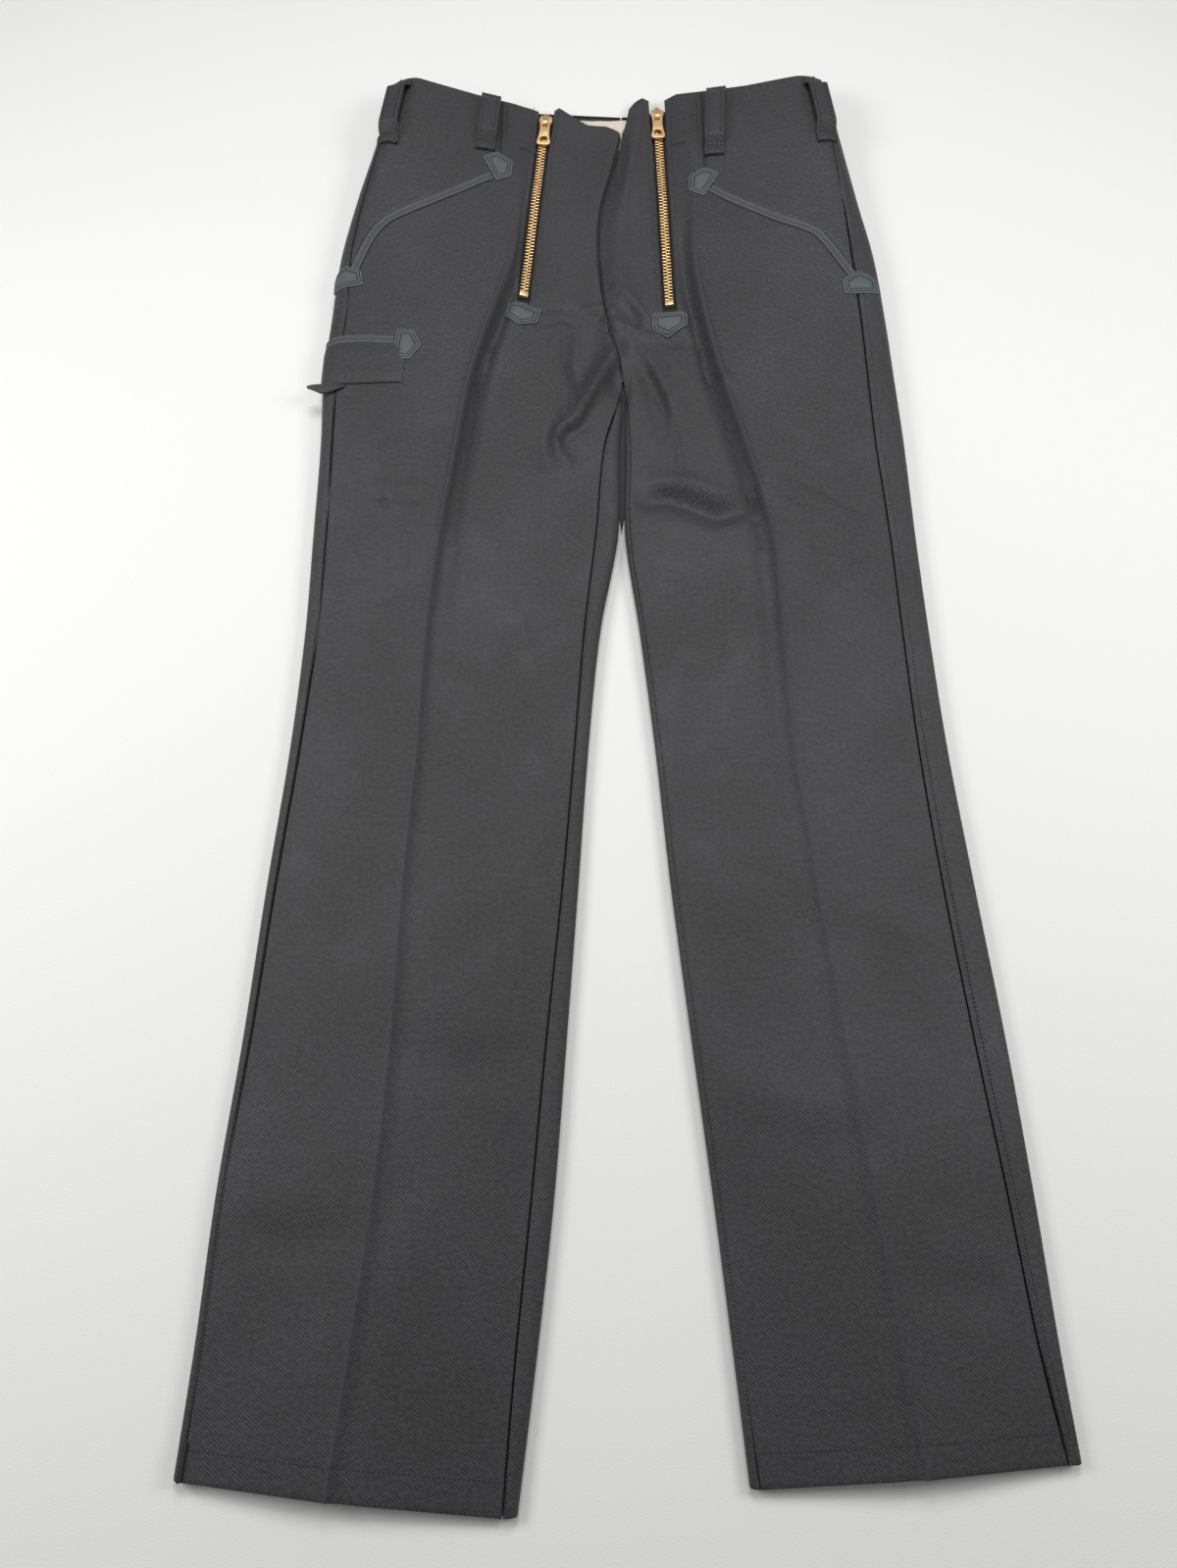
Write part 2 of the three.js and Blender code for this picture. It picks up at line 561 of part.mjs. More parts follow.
// ---- trim ----
// Plan point of a patch: across its base, and up towards its peak.
function patchPoint({ at, turn }, across, up) {
  const angle = THREE.MathUtils.degToRad(turn);
  const x = at[0] + across * Math.cos(angle) - up * Math.sin(angle);
  return [x, at[1] + across * Math.sin(angle) + up * Math.cos(angle)];
}

function patchOutline(patch, grow) {
  const half = PATCH.width / 2 + grow, top = PATCH.side + PATCH.peak + grow;
  const corners = [[-half, -grow], [half, -grow], [half, PATCH.side], [0, top], [-half, PATCH.side]];
  return corners.map(([across, up]) => patchPoint(patch, across, up));
}

function buildPatch(patch) {
  const { name, side } = patch;
  const levels = [0, PATCH.side / 2, PATCH.side, PATCH.side + PATCH.peak / 2, PATCH.side + PATCH.peak];
  const rows = levels.map((up) => {
    const past = clamp01((up - PATCH.side) / PATCH.peak);
    const half = PATCH.width / 2 * (1 - 0.9 * past);
    return Array.from({ length: 8 }, (_, i) => patchPoint(patch, lerp(-half, half, i / 7), up));
  });
  add(name, sheetGeometry(side, rows, TRIM_LIFT, TRIM_LIFT + LEATHER), "leather");
}

// A strip of leather along a path of plan points, on the side of the path given by toward.
function stripRows(path, width, toward, steps, start, end) {
  const curve = new THREE.CatmullRomCurve3(path.map(([x, y]) => new THREE.Vector3(x, y, 0)));
  const length = curve.getLength();
  return Array.from({ length: steps + 1 }, (_, i) => {
    const u = lerp(start / length, 1 - end / length, i / steps);
    const p = curve.getPointAt(u), t = curve.getTangentAt(u);
    const nx = -t.y * toward, ny = t.x * toward;
    return [-1, -0.4, 0.4, 1].map((k) => {
      const off = width * (0.5 + 0.5 * k);
      return [p.x + nx * off, p.y + ny * off];
    });
  });
}

function buildPiping(name, side, path, toward, start, end) {
  let rows = stripRows(path, PIPE.width, toward, 12, start, end);
  if (toward > 0) rows = rows.map((row) => [...row].reverse());
  const crown = (row, lift) => row.map(([x, y], k) => raised(side, x, y, lift(k)));
  const rounded = (k) => TRIM_LIFT + PIPE.thick * (k === 1 || k === 2 ? 1 : 0.72);
  const top = rows.map((row) => crown(row, rounded)), base = rows.map((row) => crown(row, () => TRIM_LIFT));
  add(name, wallGeometry(top, base), "leather");
}

function buildLoop({ name, side, top, bottom }) {
  const a = new THREE.Vector2(...bottom), b = new THREE.Vector2(...top);
  const along = b.clone().sub(a).normalize();
  const across = new THREE.Vector2(along.y, -along.x);
  const stations = [0, 4, 9, 15, 22, 30, 38, 46, 53, 59, 64, 68];
  const lift = (q) => {
    const rising = smoothstep(LOOP.end - 2, LOOP.end + 9, q);
    return TRIM_LIFT + LOOP.lift * rising * (1 - smoothstep(LOOP.length - 14, LOOP.length - 3, q));
  };
  const layer = (extra) => stations.map((q) => {
    const q0 = q / LOOP.length * a.distanceTo(b);
    return [-1, -0.5, 0, 0.5, 1].map((t) => {
      const p = a.clone().addScaledVector(along, q0).addScaledVector(across, t * LOOP.width / 2);
      return raised(side, p.x, p.y, lift(q) + extra);
    });
  });
  add(name, wallGeometry(layer(LOOP.thick), layer(0)), "cloth");
}

// Strip along a zip from one level to another, between two lifts. All strips share their
// stations and the chain's edges, so that their facets run side by side.
function zipStrip(side, half, from, to, low, high) {
  const frame = zipFrame(side);
  const ups = [from];
  for (let up = Math.ceil((from + 1) / ZIP.pitch) * ZIP.pitch; up < to - 1; up += ZIP.pitch) ups.push(up);
  const core = Math.min(half, ZIP.chain / 2);
  const across = half > core ? [-half, -core, 0, core, half] : [-core, 0, core];
  const rows = [...ups, to].map((up) => across.map((a) => zipPoint(frame, a, up)));
  return sheetGeometry(side, rows, low, high);
}

// Places a piece made flat (x across the zip, y up along it, z out) on the skin at a zip level.
function placeOnZip(side, up, lift) {
  const frame = zipFrame(side);
  const [x, y] = zipPoint(frame, 0, up);
  const reach = 8;
  const ahead = raised(side, ...zipPoint(frame, 0, up + reach), lift);
  const behind = raised(side, ...zipPoint(frame, 0, up - reach), lift);
  const yAxis = ahead.sub(behind).normalize();
  const zAxis = new THREE.Vector3(frame.across.x, frame.across.y, 0).cross(yAxis).normalize();
  const xAxis = yAxis.clone().cross(zAxis).normalize();
  return new THREE.Matrix4().makeBasis(xAxis, yAxis, zAxis).setPosition(raised(side, x, y, lift));
}

// Prism across a slider from a side view: y up the zip and z out from the pull's pivot.
function bridgePart(points) {
  const options = { depth: BRIDGE.width, bevelEnabled: false };
  const body = new THREE.ExtrudeGeometry(new THREE.Shape(points), options)
    .translate(0, 0, -BRIDGE.width / 2)
    .rotateY(Math.PI / 2)
    .rotateX(Math.PI / 2);
  return solid(body);
}

// Shield-shaped slider with the bridge that carries the pull.
function sliderGeometry(thick, pivotUp) {
  const w = ZIP.sliderWidth / 2, l = ZIP.sliderLength / 2, head = l - 1.6;
  const outline = new THREE.Shape();
  outline.moveTo(-w * 0.66, -l);
  outline.lineTo(w * 0.66, -l);
  outline.quadraticCurveTo(w * 0.72, -l * 0.5, w, -l * 0.1);
  outline.quadraticCurveTo(w, head, w * 0.6, head);
  outline.lineTo(-w * 0.6, head);
  outline.quadraticCurveTo(-w, head, -w, -l * 0.1);
  outline.quadraticCurveTo(-w * 0.72, -l * 0.5, -w * 0.66, -l);
  const options = { depth: thick, bevelEnabled: false, curveSegments: 5 };
  const plate = solid(new THREE.ExtrudeGeometry(outline, options).translate(0, 0, -thick));
  const sink = -pivotUp - 0.4, steps = 7;
  const arc = (radius) => Array.from({ length: steps + 1 }, (_, i) => {
    const angle = Math.PI * i / steps;
    return new THREE.Vector2(radius * Math.cos(angle), radius * Math.sin(angle));
  });
  const at = (y, z) => new THREE.Vector2(y, z);
  const outer = [at(BRIDGE.outer, sink), ...arc(BRIDGE.outer), at(-BRIDGE.outer, sink)];
  const inner = [at(-BRIDGE.inner, sink), ...arc(BRIDGE.inner).reverse(), at(BRIDGE.inner, sink)];
  const crown = RIDGE.map(([y, z]) => at(y, z)).reverse();
  const ridge = [at(RIDGE[0][0], sink), at(RIDGE.at(-1)[0], sink), ...crown];
  const bridge = bridgePart([...outer, ...inner]).add(bridgePart(ridge));
  return geometryOf(plate.add(bridge.translate([0, -BRIDGE.down, pivotUp])));
}

// Bell-shaped pull with an eye round the bridge and a domed hole at its foot. Pivot at the origin.
function pullGeometry() {
  const neck = PULL.neck / 2, foot = PULL.foot / 2, l = PULL.length;
  const bar = 0.85, round = 3;
  const outline = new THREE.Shape();
  outline.moveTo(-neck * 0.7, bar);
  outline.lineTo(neck * 0.7, bar);
  outline.quadraticCurveTo(neck, bar, neck, -1.2);
  outline.lineTo(neck * 0.92, -l * 0.3);
  outline.quadraticCurveTo(neck * 0.92, -l * 0.55, foot, -l + round);
  outline.quadraticCurveTo(foot, -l, foot - round, -l);
  outline.lineTo(-foot + round, -l);
  outline.quadraticCurveTo(-foot, -l, -foot, -l + round);
  outline.quadraticCurveTo(-neck * 0.92, -l * 0.55, -neck * 0.92, -l * 0.3);
  outline.lineTo(-neck, -1.2);
  outline.quadraticCurveTo(-neck, bar, -neck * 0.7, bar);
  const eye = new THREE.Path();
  const ew = PULL.eyeWidth / 2;
  eye.moveTo(-ew, -bar);
  eye.lineTo(-ew, -bar - PULL.eyeLength);
  eye.lineTo(ew, -bar - PULL.eyeLength);
  eye.lineTo(ew, -bar);
  eye.closePath();
  const hole = new THREE.Path();
  const holeFoot = -l + PULL.holeUp, holeHalf = PULL.hole / 2;
  hole.moveTo(-holeHalf, holeFoot);
  hole.lineTo(holeHalf, holeFoot);
  hole.absarc(0, holeFoot + PULL.holeSide, holeHalf, 0, Math.PI, false);
  hole.closePath();
  outline.holes.push(eye, hole);
  return new THREE.ExtrudeGeometry(outline, { depth: PULL.thick, bevelEnabled: false, curveSegments: 6 })
    .translate(0, 0, -PULL.thick / 2);
}

function buildZip(side) {
  const name = SIDE_NAMES.get(side);
  const frame = zipFrame(side);
  const under = -CLOTH - UNDERLAP;
  const base = under + GAP;
  const sliderBottom = frame.length - ZIP.sliderLength;
  const tape = zipStrip(side, ZIP.tape / 2, -8, frame.length - 2, under - ZIP.tapeThick, under);
  const chain = zipStrip(side, ZIP.chain / 2, ZIP.stopLength + GAP, sliderBottom - GAP, base, ZIP.proud);
  const stop = zipStrip(side, ZIP.stopWidth / 2, 0.4, ZIP.stopLength, base, ZIP.proud + 0.4);
  add("zip_tape_" + name, tape, "tape");
  add("zip_chain_" + name, chain, "brass");
  add("zip_stop_" + name, stop, "brass");
  const pivotUp = BRIDGE.inner + 0.15;
  const centre = sliderBottom + ZIP.sliderLength / 2;
  const slider = add("zip_slider_" + name, sliderGeometry(ZIP.sliderTop - ZIP.sliderFoot, pivotUp), "brass");
  slider.applyMatrix4(placeOnZip(side, centre, ZIP.sliderTop));
  const pull = add("zip_pull_" + name, pullGeometry(), "brass");
  const down = new THREE.Matrix4().makeTranslation(0, -BRIDGE.down, 0);
  pull.applyMatrix4(placeOnZip(side, centre, ZIP.sliderTop + pivotUp).multiply(down));
}

function buildRulePocket() {
  const side = RIGHT;
  const { inner, mouth, foot, wrap } = RULE_POCKET;
  const steps = 3;
  const seam = -sectionAt(side, mouth).outseam;
  const xs = [21, 18, 15, 12, 9.5, 7, 4.5, 2, 0].map((past) => seam - past * wrap / 21);
  xs.push(...[0.25, 0.5, 0.75, 1].map((t) => lerp(seam, inner, t)));
  const rows = Array.from({ length: steps + 1 }, (_, r) => xs.map((x) => [x, lerp(foot, mouth, r / steps)]));
  const panel = solid(sheetGeometry(side, rows, TRIM_LIFT, TRIM_LIFT + CLOTH));
  const patch = PATCHES.find(({ name }) => name === "patch_rule_pocket");
  add("rule_pocket", geometryOf(panel.subtract(prism(patchOutline(patch, GAP)))), "cloth");
  const high = mouth + 3;
  const path = [[inner - 8.5, mouth + 1], [-205, high], [-226, high], [seam - wrap + 2, mouth + 1]];
  buildPiping("piping_rule_pocket", side, path, -1, 0.5, 0.5);
  buildRuleTail(side);
}

// The stiff lower corner of the rule pocket, which stands away from the leg to a point.
function buildRuleTail(side) {
  const stations = [...TAIL].reverse();
  const layer = (extra) => [0, 0.5, 1].map((t) => stations.map(({ x, high, low, lift }) => {
    const edge = raised(side, Math.max(x, TAIL_FREE), lerp(low, high, t), lift + extra);
    return edge.add(new THREE.Vector3(Math.min(x - TAIL_FREE, 0), 0, 0));
  }));
  add("rule_pocket_tail", wallGeometry(layer(CLOTH), layer(0)), "cloth");
}

function buildLining() {
  const { halfWidth, top, drop, thick } = WAIST_LINING;
  const low = CLOTH + GAP;
  const body = new THREE.BoxGeometry(halfWidth * 2, drop, thick)
    .translate(0, top - drop / 2, low + thick / 2);
  add("waist_lining", body, "lining");
}

for (const side of [RIGHT, LEFT]) {
  const name = SIDE_NAMES.get(side);
  buildPanels(side);
  buildZip(side);
  const toward = side === RIGHT ? 1 : -1;
  buildPiping("piping_pocket_" + name, side, MOUTHS[name], toward, PIPE.start[name], PIPE.end);
}
PATCHES.forEach(buildPatch);
LOOPS.forEach(buildLoop);
buildRulePocket();
buildLining();

// The origin is under the middle of the garment, on the plane it lies on.
const box = new THREE.Box3().setFromObject(group);
const middle = box.getCenter(new THREE.Vector3());
group.position.set(-middle.x, -middle.y, -box.min.z);

export default group;
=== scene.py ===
"""Looks of a pair of black carpenter's trousers, laid flat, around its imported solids."""

import json
import math

import bpy
import numpy as np
from bpy.props import FloatProperty, FloatVectorProperty, IntProperty, PointerProperty
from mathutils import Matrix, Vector

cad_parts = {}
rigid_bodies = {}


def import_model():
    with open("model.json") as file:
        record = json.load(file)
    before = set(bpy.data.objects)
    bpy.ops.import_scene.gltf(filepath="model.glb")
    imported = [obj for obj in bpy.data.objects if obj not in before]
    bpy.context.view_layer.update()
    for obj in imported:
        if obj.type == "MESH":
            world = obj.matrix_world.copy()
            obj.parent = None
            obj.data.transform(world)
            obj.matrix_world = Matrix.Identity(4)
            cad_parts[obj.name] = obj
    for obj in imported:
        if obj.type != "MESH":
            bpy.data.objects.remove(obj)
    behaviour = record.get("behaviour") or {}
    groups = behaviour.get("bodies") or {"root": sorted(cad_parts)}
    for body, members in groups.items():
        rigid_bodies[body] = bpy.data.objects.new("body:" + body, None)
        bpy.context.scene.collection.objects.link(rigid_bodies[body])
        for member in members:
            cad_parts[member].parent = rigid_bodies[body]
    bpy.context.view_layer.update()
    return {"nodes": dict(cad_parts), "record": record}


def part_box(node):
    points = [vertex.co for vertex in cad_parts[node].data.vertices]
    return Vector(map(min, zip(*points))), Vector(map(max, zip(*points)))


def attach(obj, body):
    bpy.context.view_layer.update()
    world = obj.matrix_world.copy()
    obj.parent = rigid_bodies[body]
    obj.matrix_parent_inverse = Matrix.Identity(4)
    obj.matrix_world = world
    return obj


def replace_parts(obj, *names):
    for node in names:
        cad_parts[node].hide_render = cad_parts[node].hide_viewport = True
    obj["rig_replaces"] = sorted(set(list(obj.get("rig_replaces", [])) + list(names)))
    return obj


bl_info = {
    "name": "Carpenter's trousers",
    "version": (1, 0, 0),
    "blender": (4, 5, 0),
    "location": "View3D > Sidebar > Trousers",
    "description": "Makes the cloth, leather, zips and stitching of carpenter's trousers laid flat",
    "category": "Object",
}

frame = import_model()

# The garment is cut in millimetres: x from its centre line to the wearer's left, y up from hem level.
MM = 0.001
LINING_TOP = 1079
lining_low, lining_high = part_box("waist_lining")
GARMENT_ZERO = np.array([(lining_low.x + lining_high.x) / 2 / MM, lining_high.y / MM - LINING_TOP, 0.0])

# ---- the garment's cut, in millimetres ----
CLOTH = 1.5
LAYER_GAP = 0.3  # between one layer of cloth and the next
CROTCH_UP = 797
WAIST_UP = 1084
BACK_EDGE = 1082
SEAM_GAP = 1.1
FOLD_RADIUS = 1.55
HEM_TURN = 17
WAIST_TURN = 34

# Sections across one leg, from the waist down. up: level at the crease. out_rise, in_rise: how far
# the row climbs at the outseam and inseam. outer to inner: distances outward from the centre line.
# side_z, crease_z, inner_z: heights of the outer roll, the pressed crease and the inner roll. fall:
# how steeply the cloth drops from the crease towards the inseam.
COLUMNS = ["up", "out_rise", "in_rise", "outer", "outseam", "crease", "inseam", "inner",
           "side_z", "crease_z", "inner_z", "fall"]
SECTIONS = {
    "right": [
        [1084, 0, 0, 198, 190, 84, -4, -4, 34, 15, 7, 1.3],
        [1020, 0, 0, 211, 205, 85, 6, 6, 31, 17, 7, 1.4],
        [970, 0, 0, 223, 215, 84, 15, 15, 27, 18, 7, 1.6],
        [915, 0, 0, 233, 223, 88, 16, 16, 23, 20, 7, 2.0],
        [855, 0, 0, 237, 224, 104, 9, 9, 20, 23, 8, 2.2],
        [797, 0, 0, 240, 228, 119, -3, -3, 18, 23, 9, 2.2],
        [735, 0, 0, 238, 228, 128, 12, 0, 16, 21, 10, 1.9],
        [655, 0, 0, 238, 227, 138, 19, 2, 14, 19, 11, 1.4],
        [572, 0, 0, 238, 228, 145, 28, 16, 13, 18, 11, 1.1],
        [478, 0, 0, 242, 234, 148, 35, 25, 12, 17, 10, 1],
        [376, 0, 0, 250, 243, 153, 43, 32, 11, 17, 10, 1],
        [270, 0, 0, 257, 251, 156, 53, 39.5, 10, 17, 10, 1],
        [171, 3, -2, 265, 260, 162, 61.5, 47, 10, 17, 10, 1],
        [80, 7, -5, 269, 264, 171, 70, 57, 10, 18, 10, 1],
        [0, 11, -8, 274, 270, 180, 76, 67, 10, 19, 10, 1],
    ],
    "left": [
        [1084, 0, 0, 185, 173, 66, 4, 4, 34, 16, 7, 1.2],
        [1020, 0, 0, 196, 185, 64, -6, -6, 31, 17, 7, 1.4],
        [970, 0, 0, 205, 190, 64, -15, -15, 27, 18, 7, 1.6],
        [915, 0, 0, 215, 194, 63, -16, -16, 23, 20, 7, 2.0],
        [855, 0, 0, 220, 198, 70, -9, -9, 20, 23, 8, 2.2],
        [797, 0, 0, 223, 200, 81, 3, 3, 18, 23, 9, 2.2],
        [735, 0, 0, 226, 202, 97, 7.5, 4.5, 16, 21, 10, 1.9],
        [655, 0, 0, 228, 207, 115, 6.5, 3.5, 14, 19, 11, 1.4],
        [572, 0, 0, 231, 210, 119, 16.5, 13.5, 13, 18, 11, 1.1],
        [478, 0, 0, 236, 214, 122, 27, 23.5, 12, 17, 10, 1],
        [376, 0, 0, 245, 222, 132, 36, 32.5, 11, 17, 10, 1],
        [270, 0, 0, 255, 233, 144, 47.5, 44, 10, 17, 10, 1],
        [171, 1, 0, 262, 244, 156, 58.5, 55, 10, 17, 10, 1],
        [80, 4, -2, 267, 253, 167, 68.5, 64.5, 10, 18, 10, 1],
        [12, 8, -5, 272, 263, 176, 77, 71.5, 10, 19, 10, 1],
    ],
}
# The waist edge of the front, from the centre outwards: distance from the centre line, level.
WAIST_EDGE = {
    "right": [[-11, 1056], [-4, 1057], [3, 1062], [10, 1066], [26, 1067], [32, 1071], [39, 1076],
              [46, 1081], [51, 1085], [60, 1078], [70, 1079], [90, 1083], [124, 1086], [175, 1093],
              [215, 1094]],
    "left": [[4, 1060], [8, 1070], [11, 1088], [16, 1094], [23, 1098], [32, 1094], [42, 1094],
             [53, 1098], [75, 1096], [113, 1094], [146, 1095], [190, 1096]],
}
# Main forms of the front, which its solid has too: height, width, then the points each runs along.
FOLDS = [
    (-5, 13, [(-24, 846), (-28, 815)]),
    (5, 8, [(-6, 862), (-1, 828), (-20, 788), (-44, 757)]),
    (3, 13, [(-4, 905), (22, 868), (46, 846)]),
    (3, 9, [(14, 845), (34, 800), (46, 762)]),
    (-3, 9, [(14, 690), (45, 684), (72, 672), (104, 686)]),
    (-2.5, 10, [(-62, 1090), (-68, 1000)]),
    (-2.5, 10, [(36, 1098), (39, 1000)]),
]
# Small creases and pulls laid into the cloth, in the same form.
CREASES = [
    (-2.6, 2.4, [(-26, 861), (-17, 861), (-9, 859)]),
    (-3.4, 3.0, [(-19, 856), (-12, 850), (-6, 845)]),
    (3.2, 3.2, [(-28, 867), (-16, 868), (-5, 866)]),
    (-6.5, 7.0, [(-27, 834), (-32, 818), (-34, 805), (-32, 793)]),
    (1.8, 7.0, [(-46, 846), (-54, 826), (-54, 806)]),
    (6.0, 5.5, [(-2, 824), (-8, 810), (-19, 791), (-27, 772), (-33, 758), (-47, 747), (-51, 738),
                (-48, 726), (-42, 715)]),
    (-2.6, 3.6, [(-22, 768), (-30, 752), (-44, 741), (-45, 728)]),
    (-2.4, 6.0, [(-58, 752), (-60, 735), (-57, 716)]),
    (-4.5, 5.0, [(-4, 806), (-3, 792), (-1, 776)]),
    (4.6, 4.0, [(-11, 857), (6, 847), (18, 841), (32, 838)]),
    (3.6, 4.2, [(-2, 890), (10, 877), (19, 862), (26, 849)]),
    (-2.6, 4.2, [(6, 868), (14, 856), (14, 846)]),
    (-3.0, 5.5, [(28, 842), (42, 832), (55, 828)]),
    (-4.2, 4.4, [(22, 808), (32, 781), (39, 762)]),
    (1.8, 3.0, [(8, 848), (24, 815), (38, 781), (46, 730), (51, 676)]),
    (-1.8, 4.5, [(16, 812), (26, 778), (33, 740)]),
    (-6.0, 7.0, [(13, 682), (39, 685), (58, 677), (77, 667), (93, 671), (102, 680)]),
    (3.6, 7.0, [(30, 702), (56, 697), (80, 686)]),
    (1.6, 5.0, [(28, 662), (52, 658), (72, 648)]),
    (2.0, 2.8, [(70, 802), (79, 796), (88, 787)]),
    (-1.8, 3.0, [(70, 794), (78, 788), (86, 780)]),
    (-1.6, 7.0, [(8, 760), (14, 735), (11, 705)]),
    (-1.5, 4.0, [(-72, 862), (-52, 868), (-34, 864)]),
    (-1.4, 3.0, [(-68, 849), (-48, 857), (-38, 854)]),
    (-1.4, 10.0, [(-96, 800), (-80, 770), (-66, 720)]),
    (-2.0, 2.2, [(-198, 704), (-189, 684), (-172, 681), (-152, 680)]),
    (-1.8, 2.0, [(-197, 689), (-189, 684), (-182, 675)]),
    (1.4, 3.2, [(-187, 695), (-176, 691), (-158, 689)]),
    (-1.4, 2.4, [(-191, 597), (-182, 592), (-171, 599)]),
    (-1.4, 2.4, [(-177, 656), (-166, 640), (-164, 620)]),
    (1.2, 2.6, [(-186, 561), (-170, 549), (-158, 546)]),
    (1.3, 3.0, [(-85, 594), (-76, 580), (-70, 560)]),
    (-1.6, 4.0, [(126, 703), (156, 690), (192, 667)]),
    (1.3, 4.5, [(118, 682), (150, 664), (178, 648)]),
    (-1.4, 3.5, [(148, 641), (180, 632), (198, 636)]),
    (1.5, 8.0, [(198, 567), (216, 556), (228, 548)]),
    (-1.5, 6.0, [(202, 553), (218, 543), (230, 536)]),
    (-1.8, 12.0, [(-152, 472), (-110, 440), (-70, 430)]),
    (1.5, 14.0, [(-236, 420), (-200, 400), (-165, 398)]),
    (-1.6, 13.0, [(58, 472), (95, 455), (118, 452)]),
    (1.4, 13.0, [(150, 362), (190, 345), (225, 350)]),
    (-1.6, 16.0, [(-150, 262), (-110, 250), (-66, 258)]),
    (1.5, 16.0, [(78, 240), (120, 225), (150, 230)]),
    (-1.5, 14.0, [(-246, 150), (-215, 140), (-180, 148)]),
    (-1.5, 14.0, [(180, 120), (215, 110), (245, 118)]),
]
# The pressed crease: level, how far its ridge stands up, and how deep the hollow beside it is on the
# inner side.
PRESS = [
    [0, 1.4, 1.6], [60, 1.5, 1.8], [300, 1.6, 2.2], [480, 1.9, 2.6], [600, 2.4, 3.6], [700, 3.4, 5.4],
    [800, 4.2, 7.4], [870, 3.6, 6.6], [920, 2.2, 3.2], [960, 1.0, 1.0], [1010, 0.3, 0], [1084, 0, 0],
]
PRESS_RIDGE, PRESS_HOLLOW, HOLLOW_AWAY = 1.9, 6.0, 8.5  # half widths, and how far in the hollow lies
# How pale the pressed edge is painted, a painted highlight that stands for its shine: level, share.
PRESS_PAINTED_HIGHLIGHT = [[0, 0.25], [300, 0.25], [600, 0.4], [720, 0.75], [860, 0.85], [930, 0.4], [985, 0]]
CREASE_HIGHLIGHT_WIDTH = 1.4

# The crack between the front's halves: level, how far the left half dips into it and swells beside
# it, and how far the right half's edge stands up.
CRACK = [
    [0, 0, 0, 0], [830, 0, 0, 0], [862, 1.8, 0.4, 1.6], [900, 2.2, 1.4, 2.6], [960, 2.5, 2.8, 4.6],
    [1030, 2.2, 3.6, 5.4], [1050, 1.6, 3.4, 4.6], [1084, 1.6, 2.0, 3.6],
]
CRACK_SLOPE, CRACK_LIFT, CRACK_EDGE = 8.0, 13.0, 0.8  # how far in the dip, the lift and its edge reach
CRACK_SWELL, SWELL_WIDTH = 17.0, 8.0  # how far in the swelling lies, and half its width
LOWEST, LOWEST_BLEND = 4.4, 2.5  # the skin lies no lower than this, and how sharply it levels out

# Where a leg's rolls begin, in from the outseam and inseam. Above the crotch the inner side is flat.
OUTER_ROLL, WAIST_ROLL, INNER_ROLL, INNER_FLAT = 6, 10, 5, 12
VALLEY = 1.6  # how far the seat seam sinks

# Pocket mouths, from the vertical hip seam down to the outseam.
MOUTHS = {
    "right": [(-104, 1004), (-131, 987), (-158, 971), (-181, 958), (-198, 946), (-210, 928), (-221, 898)],
    "left": [(74, 993), (96, 976), (117, 963), (138, 951), (158, 942), (172, 931), (193, 897)],
}
HIP_SEAM = {"right": 101, "left": 75}
ZIPS = {
    "right": {"top": (-62.5, 1076), "bottom": (-79, 874)},
    "left": {"top": (36, 1086), "bottom": (42, 866)},
}
SIDES = {"right": -1, "left": 1}


# ---- plain sums ----
def smoothstep(low, high, value):
    t = np.clip((np.asarray(value, float) - low) / (high - low), 0, 1)
    return t * t * (3 - 2 * t)


def lerp(a, b, t):
    return a + (b - a) * t


def rounded_edge(distance, radius):
    """How far a rounded edge lies below its flat, at a distance in from the edge."""
    reach = np.clip(radius - np.asarray(distance, float), 0, radius)
    return radius - np.sqrt(radius * radius - reach * reach)


def mound(value, middle, width):
    """A soft mound, 1 high at its middle."""
    return np.exp(-(((value - middle) / width) ** 2))


def unit(vectors):
    return vectors / np.maximum(np.linalg.norm(vectors, axis=-1), 1e-9)[..., None]


def pairs(x, y):
    return np.stack([x, y], axis=-1)


def run_length(points):
    """Length along a line up to each of its points."""
    return np.concatenate([[0], np.cumsum(np.linalg.norm(np.diff(points, axis=0), axis=1))])


def by_level(table, up):
    """The further columns of a table at a level, which is its first column."""
    at, *columns = np.array(table, float).T
    return [np.interp(up, at, column) for column in columns]


PATH_STEPS = 24  # short lines from one point of a curve to the next


def smooth_path(points):
    """A Catmull-Rom curve through the points, as many short lines."""
    p = np.array(points, float)
    p = np.vstack([2 * p[0] - p[1], p, 2 * p[-1] - p[-2]])
    t = np.linspace(0, 1, PATH_STEPS, endpoint=False)[:, None]
    runs = []
    for a, b, c, d in zip(p, p[1:], p[2:], p[3:]):
        runs.append(b + 0.5 * t * ((c - a) + t * (2 * a - 5 * b + 4 * c - d + t * (3 * b - a - 3 * c + d))))
    return np.vstack([*runs, p[-2:-1]])


def resample(path, pitch, start=0.0, end=0.0):
    """Points evenly spaced along a line, and the line's direction at each."""
    run = run_length(path)
    low, high = start, run[-1] - end
    at = np.linspace(low, high, max(2, int(round((high - low) / pitch)) + 1))

    def points_at(places):
        return np.column_stack([np.interp(places, run, column) for column in path.T])

    return points_at(at), unit(points_at(at + 0.5) - points_at(at - 0.5))


FOLD_ENDS = 0.35  # height left at a fold's two ends


